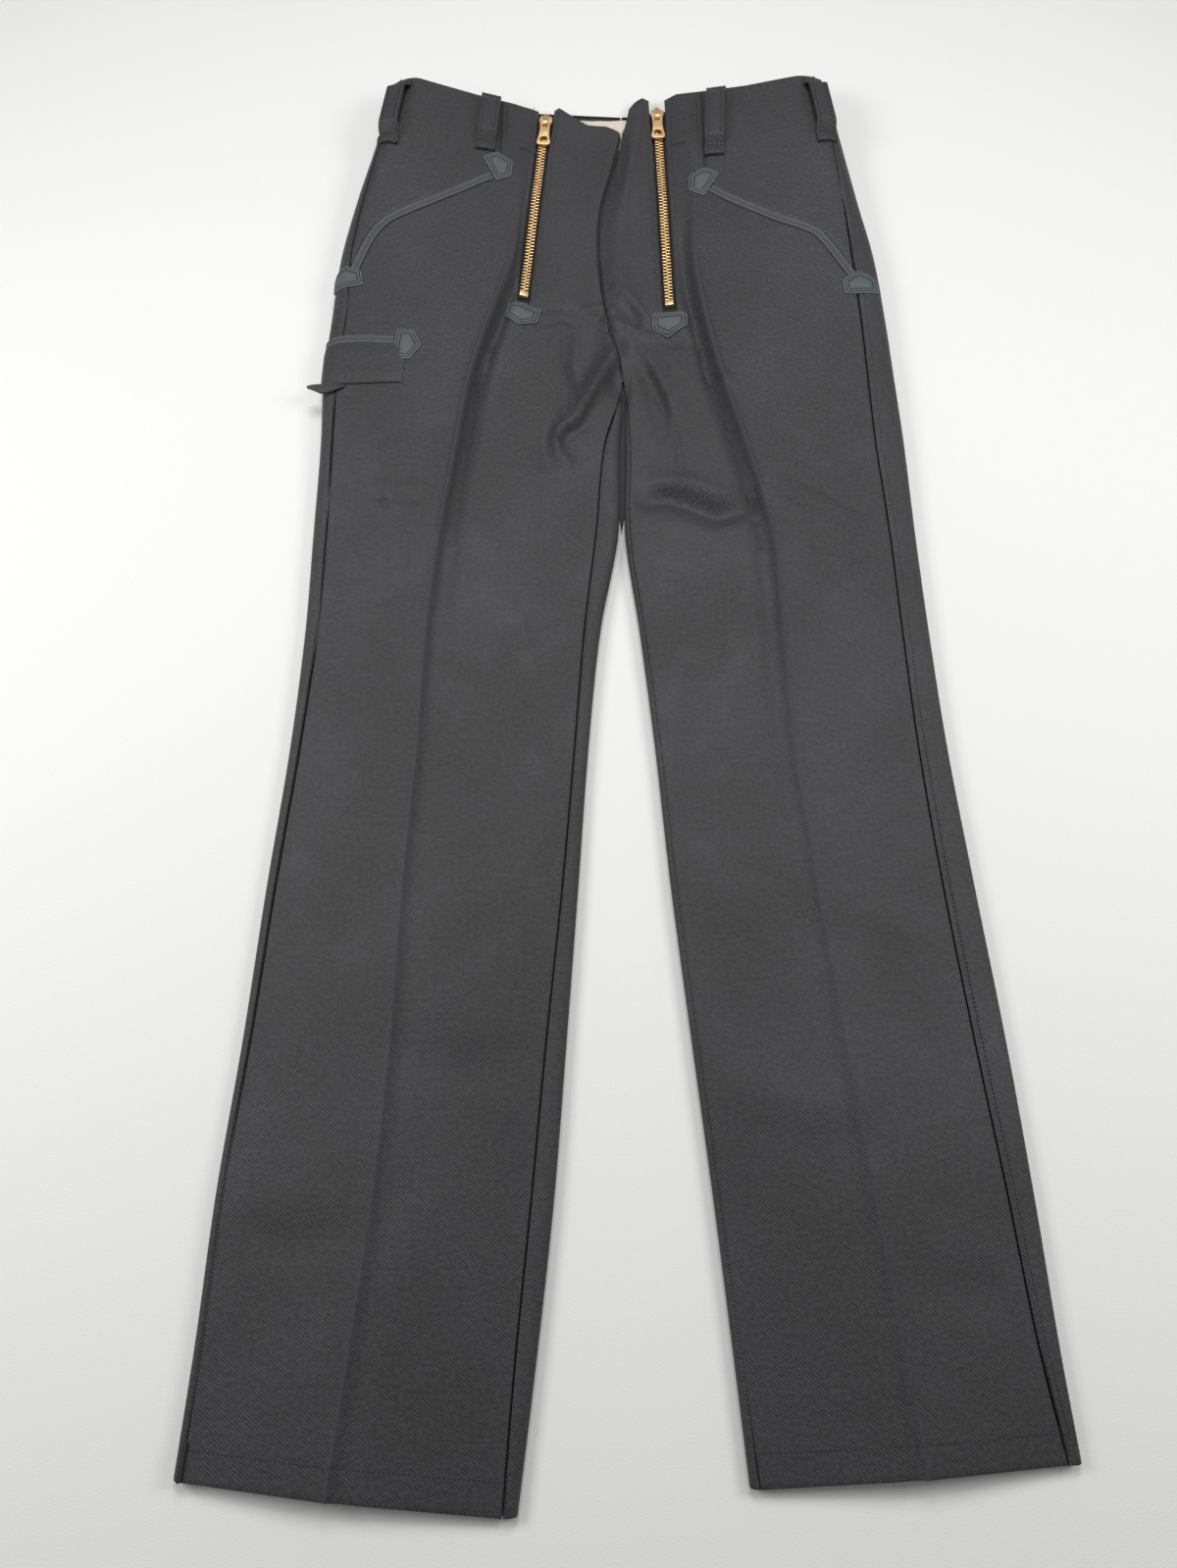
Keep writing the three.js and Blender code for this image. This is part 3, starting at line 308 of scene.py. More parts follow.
def fold_height(folds, x, y):
    """Sum of soft troughs and ridges at plan points."""
    total = np.zeros(np.broadcast(x, y).shape)
    for height, width, points in folds:
        near, share = np.full(total.shape, 1e9), np.zeros(total.shape)
        for i, ((ax, ay), (bx, by)) in enumerate(zip(points, points[1:])):
            ex, ey = bx - ax, by - ay
            t = np.clip(((x - ax) * ex + (y - ay) * ey) / (ex * ex + ey * ey), 0, 1)
            away = np.hypot(x - ax - ex * t, y - ay - ey * t)
            share = np.where(away < near, (i + t) / (len(points) - 1), share)
            near = np.minimum(near, away)
        taper = FOLD_ENDS + (1 - FOLD_ENDS) * np.sin(math.pi * (0.12 + 0.76 * share))
        total += height * taper * mound(near, 0, width)
    return total


# ---- the skin: the outside of the cloth, from which every sewn piece takes its place ----
def roll_power(reach, half):
    return np.maximum(2, 1.6 * reach / half)


def roll_point(reach, height, angle):
    """A side roll as a superellipse, by angle from its top: distance out and height."""
    half = height / 2
    out = reach * np.clip(np.sin(angle), 0, 1) ** (2 / roll_power(reach, half))
    return out, half * (1 + np.cos(angle))


def roll_angle(reach, height, distance):
    return np.arcsin(np.clip(distance / reach, 0, 1) ** (roll_power(reach, height / 2) / 2))


class Section:
    """The columns of the section table at an array of levels, with the rolls' half axes."""

    def __init__(self, leg, up):
        found = leg.columns(up)
        centre = (LEGS["left"].columns(up)["inseam"] - LEGS["right"].columns(up)["inseam"]) / 2
        seat = up > CROTCH_UP
        self.up = up
        self.out_rise, self.in_rise, self.outer, self.outseam = (
            found[k] for k in ("out_rise", "in_rise", "outer", "outseam"))
        self.crease, self.side_z, self.crease_z, self.inner_z, self.fall = (
            found[k] for k in ("crease", "side_z", "crease_z", "inner_z", "fall"))
        self.inseam = np.where(seat, leg.side * centre, found["inseam"])
        self.inner = np.where(seat, leg.side * centre, found["inner"])
        self.curl = 1 - smoothstep(CROTCH_UP - 32, CROTCH_UP + 14, up)
        self.reach = self.outer - self.outseam + OUTER_ROLL + WAIST_ROLL * smoothstep(950, WAIST_UP, up)
        self.roll_x = self.outer - self.reach
        self.inner_reach = np.maximum(self.inseam - self.inner, 0) + INNER_ROLL
        self.inner_roll_x = lerp(self.inseam + INNER_FLAT, self.inner + self.inner_reach, self.curl)

    def seam_angle(self):
        """Where round the inner roll the inseam lies."""
        return roll_angle(self.inner_reach, self.inner_z, np.maximum(self.inner_roll_x - self.inseam, 0.1))

    def inner_roll_point(self, angle):
        x, z = roll_point(self.inner_reach, self.inner_z, angle)
        return self.inner + self.inner_reach - x, z


class Leg:
    """One side of the garment: its section table, waist edge, pocket mouth and skin."""

    def __init__(self, name):
        self.name, self.side = name, SIDES[name]
        self.table = np.array(SECTIONS[name], float)
        self.edge = np.array(WAIST_EDGE[name], float)
        mouth = smooth_path(MOUTHS[name])
        self.mouth = mouth
        order = np.argsort(mouth[:, 1])
        self.mouth_levels = np.concatenate([mouth[order, 1], [mouth[:, 1].max() + 0.1, 1300]])
        self.mouth_distances = np.concatenate([self.side * mouth[order, 0], [HIP_SEAM[name]] * 2])

    def columns(self, up):
        """The section table's columns at any levels, by smooth curves through its rows."""
        ups, last = self.table[:, 0], len(self.table) - 1
        shape = np.shape(up)
        flat = np.ravel(up)
        i = np.clip(np.searchsorted(-ups, -flat, side="right") - 1, 0, last - 1)
        a, b, c, d = (self.table[np.clip(i + k, 0, last)] for k in (-1, 0, 1, 2))
        run = c[:, :1] - b[:, :1]
        t = np.clip((flat[:, None] - b[:, :1]) / run, 0, 1)
        slope_b = (c - a) / (c[:, :1] - a[:, :1]) * run
        slope_c = (d - b) / (d[:, :1] - b[:, :1]) * run
        t2, t3 = t * t, t * t * t
        found = ((2 * t3 - 3 * t2 + 1) * b + (t3 - 2 * t2 + t) * slope_b
                 + (3 * t2 - 2 * t3) * c + (t3 - t2) * slope_c)
        return {name: found[:, k].reshape(shape) for k, name in enumerate(COLUMNS)}

    def section(self, up):
        return Section(self, np.asarray(up, float))

    def waist_edge(self, distance):
        return np.interp(distance, self.edge[:, 0], self.edge[:, 1])

    def row_level(self, s, distance, back=False):
        """Level of a row at a distance from the centre line. The back's waist edge runs straight."""
        share = np.clip((distance - s.inseam) / (s.outseam - s.inseam), 0, 1)
        bend = smoothstep(880, WAIST_UP, s.up) ** 2
        edge = lerp(BACK_EDGE, self.waist_edge(s.outseam), share) if back else self.waist_edge(distance)
        return s.up + lerp(s.in_rise, s.out_rise, share) + (edge - WAIST_UP) * bend

    def bare_height(self, s, distance):
        """Top of the cloth before its folds, from the inseam to the outer roll's edge."""
        roll = roll_point(s.reach, s.side_z, roll_angle(s.reach, s.side_z, distance - s.roll_x))[1]
        outer = lerp(s.crease_z, s.side_z, (distance - s.crease) / (s.roll_x - s.crease))
        inward = np.clip((s.crease - distance) / (s.crease - s.inner_roll_x), 0, 1)
        inner = lerp(s.inner_z, s.crease_z, (1 - inward) ** s.fall)
        t = np.clip((s.inner_roll_x - distance) / (s.inner_roll_x - s.inseam), 0, 1)
        valley = s.inner_z - VALLEY * t * t
        turned = roll_angle(s.inner_reach, s.inner_z, np.minimum(s.inner_roll_x - distance, s.inner_reach))
        curled = lerp(valley, roll_point(s.inner_reach, s.inner_z, turned)[1], s.curl)
        inside = np.where(distance > s.inner_roll_x, inner, curled)
        return np.where(distance > s.roll_x, roll, np.where(distance > s.crease, outer, inside))

    def height(self, s, distance):
        """Top of the cloth with its pressed crease, the crack at the fly and its folds."""
        z = self.bare_height(s, distance)
        ridge, hollow = by_level(PRESS, s.up)
        away = s.crease - distance
        z = z + ridge * np.exp(-np.abs(away) / PRESS_RIDGE)
        z = z - hollow * mound(away, HOLLOW_AWAY, PRESS_HOLLOW)
        dip, swell, lift = by_level(CRACK, s.up)
        into = distance - s.inseam
        dipped = swell * mound(np.abs(into), CRACK_SWELL, SWELL_WIDTH) - dip * np.exp(-np.abs(into) / CRACK_SLOPE)
        if self.side > 0:
            z = z + dipped
        else:
            edge = lift * np.exp(-into / CRACK_LIFT) - (dip + lift) * np.exp(-into / CRACK_EDGE)
            z = z + np.where(into > 0, edge, dipped)
        on_front = (smoothstep(s.inseam - 1, s.inseam + 14, distance)
                    * (1 - smoothstep(s.roll_x - 20, s.roll_x, distance)))
        folds = fold_height(FOLDS + CREASES, self.side * distance, s.up)
        spare = (z + folds * lerp(1, on_front, s.curl) - LOWEST) * LOWEST_BLEND
        return LOWEST + (np.maximum(spare, 0) + np.log1p(np.exp(-np.abs(spare)))) / LOWEST_BLEND

    def section_through(self, x, y):
        up = np.array(y, float)
        for _ in range(8):
            up = up - (self.row_level(self.section(up), self.side * x) - y)
        return self.section(up)

    def roll_at_arc(self, s, arc):
        """Point of the outer roll at an arc length past the outseam."""
        start = roll_angle(s.reach, s.side_z, s.outseam - s.roll_x)
        turns = start[..., None] + (math.pi - start[..., None]) * np.linspace(0, 1, 61)
        px, pz = roll_point(s.reach[..., None], s.side_z[..., None], turns)
        steps = np.hypot(np.diff(px, axis=-1), np.diff(pz, axis=-1))
        run = np.concatenate([np.zeros(steps.shape[:-1] + (1,)), np.cumsum(steps, axis=-1)], axis=-1)
        arc = np.broadcast_to(arc, s.up.shape)
        i = np.clip((run <= arc[..., None]).sum(-1) - 1, 0, run.shape[-1] - 2)[..., None]
        (run_a, run_b), (xa, xb), (za, zb) = (
            [np.take_along_axis(values, i + k, -1)[..., 0] for k in (0, 1)] for values in (run, px, pz))
        t = np.clip((arc - run_a) / np.maximum(run_b - run_a, 1e-9), 0, 1)
        return s.roll_x + lerp(xa, xb, t), lerp(za, zb, t)

    def skin(self, x, y):
        """Points of the skin at plan points. Past the outseam x is measured along the roll."""
        x, y = np.broadcast_arrays(np.asarray(x, float), np.asarray(y, float))
        s = self.section_through(x, y)
        distance = self.side * x
        past_x, past_z = self.roll_at_arc(s, np.maximum(distance - s.outseam, 0))
        past = distance > s.outseam
        out = np.where(past, past_x, distance)
        return np.stack([self.side * out, y, np.where(past, past_z, self.height(s, distance))], axis=-1)

    def raised(self, x, y, lift=0.0):
        """The same points moved out along the skin's normal, and the normals."""
        step = 1.5
        across = self.skin(x + step, y) - self.skin(x - step, y)
        up = self.skin(x, y + step) - self.skin(x, y - step)
        normal = unit(np.cross(across, up))
        return self.skin(x, y) + normal * np.asarray(lift, float)[..., None], normal


LEGS = {name: Leg(name) for name in SIDES}


# ---- meshes ----
def to_frame(points):
    """Garment millimetres to metres in the row frame."""
    return (np.asarray(points, float) + GARMENT_ZERO) * MM


def deselect():
    if bpy.context.object and bpy.context.object.mode != "OBJECT":
        bpy.ops.object.mode_set(mode="OBJECT")
    bpy.ops.object.select_all(action="DESELECT")


def pick(piece):
    deselect()
    piece.select_set(True)
    bpy.context.view_layer.objects.active = piece
    return piece


def new_mesh(name, vertices, faces):
    """A piece from points in garment millimetres and faces of equal size or mixed."""
    used, flat = np.unique(np.concatenate([np.ravel(f) for f in faces]), return_inverse=True)
    counts = np.concatenate([np.full(len(f), np.shape(f)[1]) for f in faces])
    mesh = bpy.data.meshes.new(name)
    mesh.vertices.add(len(used))
    mesh.vertices.foreach_set("co", to_frame(vertices[used]).astype(np.float32).ravel())
    mesh.loops.add(len(flat))
    mesh.loops.foreach_set("vertex_index", flat.astype(np.int32))
    mesh.polygons.add(len(counts))
    mesh.polygons.foreach_set("loop_start", (np.cumsum(counts) - counts).astype(np.int32))
    mesh.update(calc_edges=True)
    mesh.validate()
    piece = bpy.data.objects.new(name, mesh)
    bpy.context.scene.collection.objects.link(piece)
    return piece, used, flat


def set_weave(piece, coordinates):
    """Stores where each corner lies in the cut cloth, in metres, as the piece's UV map."""
    layer = piece.data.uv_layers.new(name="weave")
    layer.data.foreach_set("uv", (coordinates * MM).astype(np.float32).ravel())


def smooth(piece, angle=45):
    pick(piece)
    bpy.ops.object.shade_smooth_by_angle(angle=math.radians(angle))
    deselect()


def wall(name, outer, inner, weave, keep=None, angle=45, wear_and_painted_light=None):
    """A closed wall between two grids of points, without the cells that keep leaves out."""
    rows, columns = outer.shape[:2]
    keep = np.ones((rows - 1, columns - 1), bool) if keep is None else keep
    index = np.arange(rows * columns).reshape(rows, columns)
    quads = np.stack([index[:-1, :-1], index[:-1, 1:], index[1:, 1:], index[1:, :-1]], axis=-1)[keep]
    layer = rows * columns
    edges = np.concatenate([quads[:, [k, (k + 1) % 4]] for k in range(4)])
    there, back = edges[:, 0] * layer + edges[:, 1], edges[:, 1] * layer + edges[:, 0]
    a, b = edges[~np.isin(there, back)].T
    rim = np.column_stack([b, a, a + layer, b + layer])
    faces = np.concatenate([quads, quads[:, ::-1] + layer, rim])
    points = np.concatenate([outer.reshape(-1, 3), inner.reshape(-1, 3)])
    piece, used, flat = new_mesh(name, points, [faces])
    both = np.concatenate([weave.reshape(-1, 2)] * 2)
    set_weave(piece, both[used][flat])
    if wear_and_painted_light is not None:
        set_wear_and_painted_light(piece, np.concatenate([wear_and_painted_light.ravel()] * 2)[used])
    smooth(piece, angle)
    return piece


def facing(leg, *grids):
    """Turns grids so that their outer side faces up on either side of the body."""
    return grids if leg.side > 0 else [g[:, ::-1] for g in grids]


def grid_normals(points, side):
    """Unit normals of a grid of points, facing out of the garment."""
    across, along = np.gradient(points, axis=1), np.gradient(points, axis=0)
    return unit(np.cross(across, along) * side)


TURN_ROWS = 39  # a turned edge has no more rows than this


def turned_rows(base, normals, turn, at_end):
    """Rows that fold a panel's edge round and back up inside it. Returns outer and inner rows."""
    if at_end:
        base, normals = base[::-1], normals[::-1]
    away = unit(base[0] - base[1])
    small = FOLD_RADIUS - CLOTH + 0.05
    outer, inner = [], []
    for angle in np.radians([30, 60, 90, 120, 150]):
        centre = base[0] - normals[0] * FOLD_RADIUS
        turn_out = away * math.sin(angle) + normals[0] * math.cos(angle)
        outer.append(centre + turn_out * FOLD_RADIUS)
        inner.append(centre + turn_out * small)
    steps = np.linalg.norm(np.diff(base[:TURN_ROWS + 1], axis=0), axis=-1).mean(axis=1)
    run = np.concatenate([[0], np.cumsum(steps)])
    for k in range(min(int(np.searchsorted(run, turn)), TURN_ROWS) + 1):
        outer.append(base[k] - normals[k] * 2 * FOLD_RADIUS)
        inner.append(base[k] - normals[k] * (2 * FOLD_RADIUS - CLOTH))
    outer, inner = np.array(outer), np.array(inner)
    return (outer, inner) if at_end else (outer[::-1], inner[::-1])


def hemmed(base, normals, drop, low_turn, high_turn):
    """A panel's outer and inner rows with both edges turned in, and how many rows each turn adds."""
    low = turned_rows(base, normals, low_turn, False)
    high = turned_rows(base, normals, high_turn, True)
    panel = base - normals * drop[..., None], base - normals * CLOTH
    outer, inner = (np.concatenate(rows) for rows in zip(low, panel, high))
    return outer, inner, (len(low[0]), len(high[0]))


def carried_on(grid, turns):
    """A grid of values with its first and last rows carried on over the turned rows."""
    low, high = turns
    return np.concatenate([np.repeat(grid[:1], low, 0), grid, np.repeat(grid[-1:], high, 0)])


EDGE_COLUMNS = [0.45, 1.3, 2.8]  # distances from an edge, where the cloth rounds over
EDGE_WIDTH, EDGES_FIT = 4.6, 14  # how far these reach, and in what width they fit unsqueezed


def spread(low, high, count):
    """Distances from low towards high at each row, closer together near both ends."""
    span = (high - low)[:, None]
    fit = np.minimum(1, span / EDGES_FIT)
    near = np.array(EDGE_COLUMNS) * fit
    start, stop = low[:, None] + EDGE_WIDTH * fit, high[:, None] - EDGE_WIDTH * fit
    middle = start + (stop - start) * np.linspace(0, 1, count)
    return np.concatenate([low[:, None], low[:, None] + near, middle, high[:, None] - near[:, ::-1]], axis=1)


def levels(leg, step):
    """Levels of a panel's rows from hem to waist."""
    hem, waist = leg.table[-1, 0], leg.table[0, 0]
    return np.linspace(hem, waist, int((waist - hem) / step) + 1)


def arc_lengths(points):
    """Length along each row of a grid up to each of its points."""
    steps = np.linalg.norm(np.diff(points, axis=1), axis=-1)
    return np.concatenate([np.zeros((len(points), 1)), np.cumsum(steps, axis=1)], axis=1)


# ---- shader nodes ----
class Wire:
    """A shader socket, with Python's operators standing for Math nodes."""

    def __init__(self, finish, socket):
        self.finish, self.socket = finish, socket

    def __add__(self, other):
        return self.finish.sum("ADD", self, other)

    def __sub__(self, other):
        return self.finish.sum("SUBTRACT", self, other)

    def __rsub__(self, other):
        return self.finish.sum("SUBTRACT", other, self)

    def __mul__(self, other):
        return self.finish.sum("MULTIPLY", self, other)

    def __pow__(self, other):
        return self.finish.sum("POWER", self, other)

    __radd__, __rmul__ = __add__, __mul__


class Finish:
    """One material and its nodes."""

    def __init__(self, name, **constants):
        self.material = bpy.data.materials.new(name)
        self.material.use_nodes = True
        self.tree = self.material.node_tree
        self.shader = self.tree.nodes["Principled BSDF"]
        for socket, value in constants.items():
            self.shader.inputs[socket.replace("_", " ")].default_value = value

    def node(self, kind, output=0, settings=None, **inputs):
        """Adds a node: its settings first, then its sockets' values or links."""
        node = self.tree.nodes.new("ShaderNode" + kind)
        for key, value in (settings or {}).items():
            setattr(node, key, value)
        for key, value in inputs.items():
            self.fill(node.inputs[int(key[1:]) if key[1:].isdigit() else key.replace("_", " ")], value)
        return Wire(self, node.outputs[output])

    def fill(self, socket, value):
        if isinstance(value, Wire):
            self.tree.links.new(value.socket, socket)
        else:
            socket.default_value = value

    def sum(self, operation, a, b=0.0):
        return self.node("Math", settings={"operation": operation}, i0=a, i1=b)

    def wave(self, value):
        return self.sum("SINE", value)

    def clamp(self, value):
        return self.node("Clamp", Value=value)

    def step(self, value, low, high):
        return self.node("MapRange", settings={"interpolation_type": "SMOOTHSTEP"}, Value=value,
                         From_Min=low, From_Max=high)

    def noise(self, where, scale, detail=2.0, roughness=0.5):
        return self.node("TexNoise", Vector=where, Scale=scale, Detail=detail, Roughness=roughness)

    def mix(self, share, a, b):
        return self.node("Mix", output=2, settings={"data_type": "RGBA"}, i0=share, i6=a, i7=b)

    def set(self, **links):
        for socket, value in links.items():
            self.fill(self.shader.inputs[socket.replace("_", " ")], value)
        return self.material

    def bump(self, height, strength, distance, normal=None):
        extra = {"Normal": normal} if normal else {}
        return self.node("Bump", Strength=strength, Distance=distance, Height=height, **extra)

    def where(self):
        return self.node("TexCoord", output=3)

    def weave(self):
        return self.node("UVMap", settings={"uv_map": "weave"})

    def split(self, vector):
        node = self.tree.nodes.new("ShaderNodeSeparateXYZ")
        self.fill(node.inputs[0], vector)
        return [Wire(self, o) for o in node.outputs]

    def attribute(self, name):
        return self.node("Attribute", output=2, settings={"attribute_name": name})


def shade(colour, amount):
    return [c * amount for c in colour[:3]] + [1.0]


def twill(name, colour, pitch):
    """Heavy black twill: diagonal lines over the yarns, with pale fibre specks and worn clouds, and paler where
    the rim attribute is set, a painted highlight.
    """
    finish = Finish(name, Sheen_Weight=0.1, Sheen_Roughness=0.4, IOR=1.5, Specular_IOR_Level=0.68)
    place = finish.weave()
    u, v, _ = finish.split(place)
    turn = 2 * math.pi / pitch
    wander = finish.noise(place, 60.0, 1.0)
    line = finish.wave((u * 0.62 + v * 0.78) * turn + wander * 1.6)
    yarn = finish.wave((u * 0.78 - v * 0.62) * (turn * 1.55) + line * 0.8)
    ribs = line * 0.5 + 0.5
    cloth = ribs * 0.8 + yarn * 0.14
    fuzz = finish.noise(place, 1500.0, 3.0, 0.6)
    specks = finish.step(finish.noise(place, 800.0, 1.0), 0.66, 0.78)
    flecks = finish.step(finish.noise(place, 330.0, 2.0, 0.6), 0.36, 0.64)
    clouds = finish.step(finish.noise(finish.where(), 9.0, 3.0), 0.35, 0.68)
    wear_and_painted_light = finish.step(finish.noise(finish.where(), 38.0, 4.0, 0.6), 0.5, 0.75)
    pale = ribs * 0.2 + fuzz * 0.5 + specks * 0.6 + flecks * 0.4 + clouds * 0.16 + wear_and_painted_light * 0.1
    amount = finish.clamp(pale - 0.23)
    tone = finish.mix(amount, shade(colour, 0.3), shade(colour, 2.1))
    # Paler where the rim attribute is above zero: a painted highlight on the pressed crease and on the rule
    # pocket's inner edge.
    tone = finish.mix(finish.clamp(finish.attribute("rim")), tone, shade(colour, 4.2))
    rough = 0.62 - clouds * 0.05 - wear_and_painted_light * 0.04 + fuzz * 0.1
    fine = finish.bump(cloth * 0.7 + fuzz * 0.9 + flecks * 0.6, 0.8, 0.00026)
    soft = finish.bump(finish.noise(finish.where(), 55.0, 3.0), 0.25, 0.0018, fine)
    return finish.set(Base_Color=tone, Roughness=rough, Normal=soft)


def nappa(name, colour):
    """Grey-green leather: fine grain, paler rims (rubbed wear and a painted highlight), darker where the rim value
    is below zero, and a slight variation from piece to piece.
    """
    finish = Finish(name, Specular_IOR_Level=0.45, Coat_Roughness=0.45, Coat_Weight=0.06)
    where = finish.where()
    rim = finish.attribute("rim")
    grain = finish.node("TexVoronoi", settings={"feature": "DISTANCE_TO_EDGE"}, Vector=where, Scale=1500.0)
    pores = finish.step(grain, 0.0, 0.12)
    mottle = finish.noise(where, 240.0, 4.0, 0.6)
    cloud = finish.noise(where, 60.0, 2.0)
    amount = finish.clamp(mottle * 0.55 + cloud * 0.35 + pores * 0.12 - 0.08)
    body = finish.mix(amount, shade(colour, 0.62), shade(colour, 1.35))
    # Paler where the rim attribute is above zero: rubbed wear and a painted highlight on raised edges.
    tone = finish.mix(finish.clamp(rim * (0.6 + mottle * 0.6)), body, shade(colour, 1.55))
    # Darker where it is below zero: a painted shade in the patches' stitch grooves, and a darker tone over the
    # binding off its ridges.
    tone = finish.mix(finish.clamp(rim * -1.0), tone, shade(colour, 0.15))
    rough = 0.5 + mottle * 0.22
    fine = finish.bump(pores * 0.6 + mottle * 0.5, 0.5, 0.00018)
    soft = finish.bump(cloud, 0.2, 0.0012, fine)
    return finish.set(Base_Color=tone, Roughness=rough, Normal=soft)


def plain_cotton(name, colour, pitch):
    """Plain woven cotton: one yarn over, one under."""
    finish = Finish(name, Sheen_Weight=0.15, Specular_IOR_Level=0.3)
    place = finish.weave()
    u, v, _ = finish.split(place)
    turn = 2 * math.pi / pitch
    over = finish.wave(u * turn) * finish.wave(v * turn)
    fuzz = finish.noise(place, 1500.0, 2.0)
    amount = finish.clamp(0.5 + over * 0.35 + (fuzz - 0.5) * 0.8)
    tone = finish.mix(amount, shade(colour, 0.8), shade(colour, 1.2))
    return finish.set(Base_Color=tone, Roughness=0.85 + fuzz * 0.1, Normal=finish.bump(over + fuzz, 0.5, 0.00015))


def tape_cloth(name, colour):
    """Zip tape: close herringbone ribs, by Object place, so that it suits a carried-over solid too."""
    finish = Finish(name, Specular_IOR_Level=0.3, Sheen_Weight=0.1)
    x, y, _ = finish.split(finish.where())
    turn = 2 * math.pi / 0.0011
    ribs = finish.wave(y * turn + finish.wave(x * (turn * 0.4)) * 1.5)
    fuzz = finish.noise(finish.where(), 1500.0, 2.0)
    tone = finish.mix(finish.clamp(ribs * 0.25 + fuzz * 0.5 + 0.2), shade(colour, 0.6), shade(colour, 1.5))
    return finish.set(Base_Color=tone, Roughness=0.8 + fuzz * 0.15, Normal=finish.bump(ribs + fuzz, 0.5, 0.0002))


def brass(name, colour):
    """Warm brass: faint brushing, tarnish in patches."""
    finish = Finish(name, Metallic=1.0)
    where = finish.where()
    tarnish = finish.step(finish.noise(where, 420.0, 4.0, 0.65), 0.42, 0.72)
    scratch = finish.noise(where, 2600.0, 2.0)
    tone = finish.mix(tarnish * 0.6, shade(colour, 1), shade(colour, 0.8))
    rough = 0.36 + tarnish * 0.14 + scratch * 0.1
    return finish.set(Base_Color=tone, Roughness=rough, Normal=finish.bump(scratch + tarnish * 0.4, 0.25, 0.00006))


def thread(name, colour):
    """Spun thread: a fine fuzz in its tone and bump, by Object place."""
    finish = Finish(name, Specular_IOR_Level=0.4, Sheen_Weight=0.2)
    fuzz = finish.noise(finish.where(), 3000.0, 2.0)
    tone = finish.mix(fuzz, shade(colour, 0.6), shade(colour, 1.5))
    return finish.set(Base_Color=tone, Roughness=0.6 + fuzz * 0.2, Normal=finish.bump(fuzz, 0.5, 0.0001))


FINISHES = {}


def finish_for(name):
    """Each material is made once, from the panel's colours."""
    if name not in FINISHES:
        cloth, trim = bpy.context.scene.trousers_cloth, bpy.context.scene.trousers_trim
        made = {
            "cloth": lambda: twill("black_twill", cloth.colour, cloth.twill_pitch),
            "leather": lambda: nappa("grey_green_leather", trim.leather_colour),
            "lining": lambda: plain_cotton("cream_cotton", cloth.lining_colour, 0.0009),
            "zip_tape": lambda: tape_cloth("zip_tape_weave", trim.tape_colour),
            "zip_metal": lambda: brass("zip_brass", trim.brass_colour),
            "cloth_thread": lambda: thread("black_thread", trim.thread_colour),
            "leather_thread": lambda: thread("leather_thread", trim.leather_thread_colour),
        }
        FINISHES[name] = made[name]()
    return FINISHES[name]


def dress(piece, slot, *nodes, body="trousers", finish=None):
    """Gives a piece its finish, chosen by its slot unless a finish is named, its body and the solids it stands
    for.
    """
    piece.data.materials.clear()
    piece.data.materials.append(finish_for(finish or slot))
    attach(piece, body)
    if nodes:
        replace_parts(piece, *nodes)
    return piece


# ---- sizes a user would change ----
def length(name, description, default_mm, low_mm=0.0):
    return FloatProperty(name=name, description=description, default=default_mm * MM, min=low_mm * MM,
                         unit="LENGTH", subtype="DISTANCE")


def colour(name, description, default):
    return FloatVectorProperty(name=name, description=description, default=default, size=3,
                               min=0.0, max=1.0, subtype="COLOR")


class ClothSizes(bpy.types.PropertyGroup):
    """Sizes and colours of the cloth."""

    front_step: length("Front cell", "Cell size of the front panels", 3.2, 1.5)
    back_step: length("Back cell", "Cell size of the back panels", 5.5, 2)
    twill_pitch: length("Twill pitch", "Distance from one twill line to the next", 1.9, 0.5)
    slot_width: length("Zip slit", "Width of the slit that shows the zip", 10.8, 8)
    colour: colour("Twill", "Colour of the black twill", (0.0172, 0.0165, 0.0192))
    lining_colour: colour("Lining", "Colour of the waist lining", (0.66, 0.60, 0.49))


class TrimSizes(bpy.types.PropertyGroup):
    """Sizes and colours of the leather, zips and thread."""

    patch_width: length("Patch width", "Width of a leather patch", 28, 10)
    leather: length("Leather", "Thickness of the leather", 1.4, 0.5)
    tooth_pitch: length("Tooth pitch", "Distance between teeth on one side of a zip", 3.3, 1)
    leather_colour: colour("Leather", "Colour of the leather", (0.083, 0.095, 0.097))
    tape_colour: colour("Tape", "Colour of the zip tape", (0.012, 0.012, 0.013))
    brass_colour: colour("Brass", "Colour of the zip's brass", (0.98, 0.68, 0.35))
    thread_colour: colour("Thread", "Colour of the thread on cloth", (0.007, 0.007, 0.009))
    leather_thread_colour: colour("Leather thread", "Colour of the thread on leather", (0.008, 0.009, 0.010))


class StageSizes(bpy.types.PropertyGroup):
    """Camera, floor and the seed of the stitches' unevenness."""

    camera_place: FloatVectorProperty(name="Camera", description="Where the camera stands", size=3,
                                      default=(-0.024, -0.3669, 0.809), unit="LENGTH", subtype="TRANSLATION")
    camera_tilt: FloatProperty(name="Tilt", description="Camera's turn from straight down towards the waist",
                               default=math.radians(18.8), subtype="ANGLE")
    lens: FloatProperty(name="Lens", description="Focal length in millimetres on a 36 mm frame", default=27.04)
    floor_colour: colour("Floor", "Colour of the surface", (0.80, 0.80, 0.78))
    seed: IntProperty(name="Seed", description="Start of the random unevenness of hand work", default=7)


# ---- cloth panels ----
def zip_line(side_name, y):
    """x of a zip's middle at a level."""
    (top_x, top_y), (low_x, low_y) = ZIPS[side_name]["top"], ZIPS[side_name]["bottom"]
    return low_x + (y - low_y) * (top_x - low_x) / (top_y - low_y)


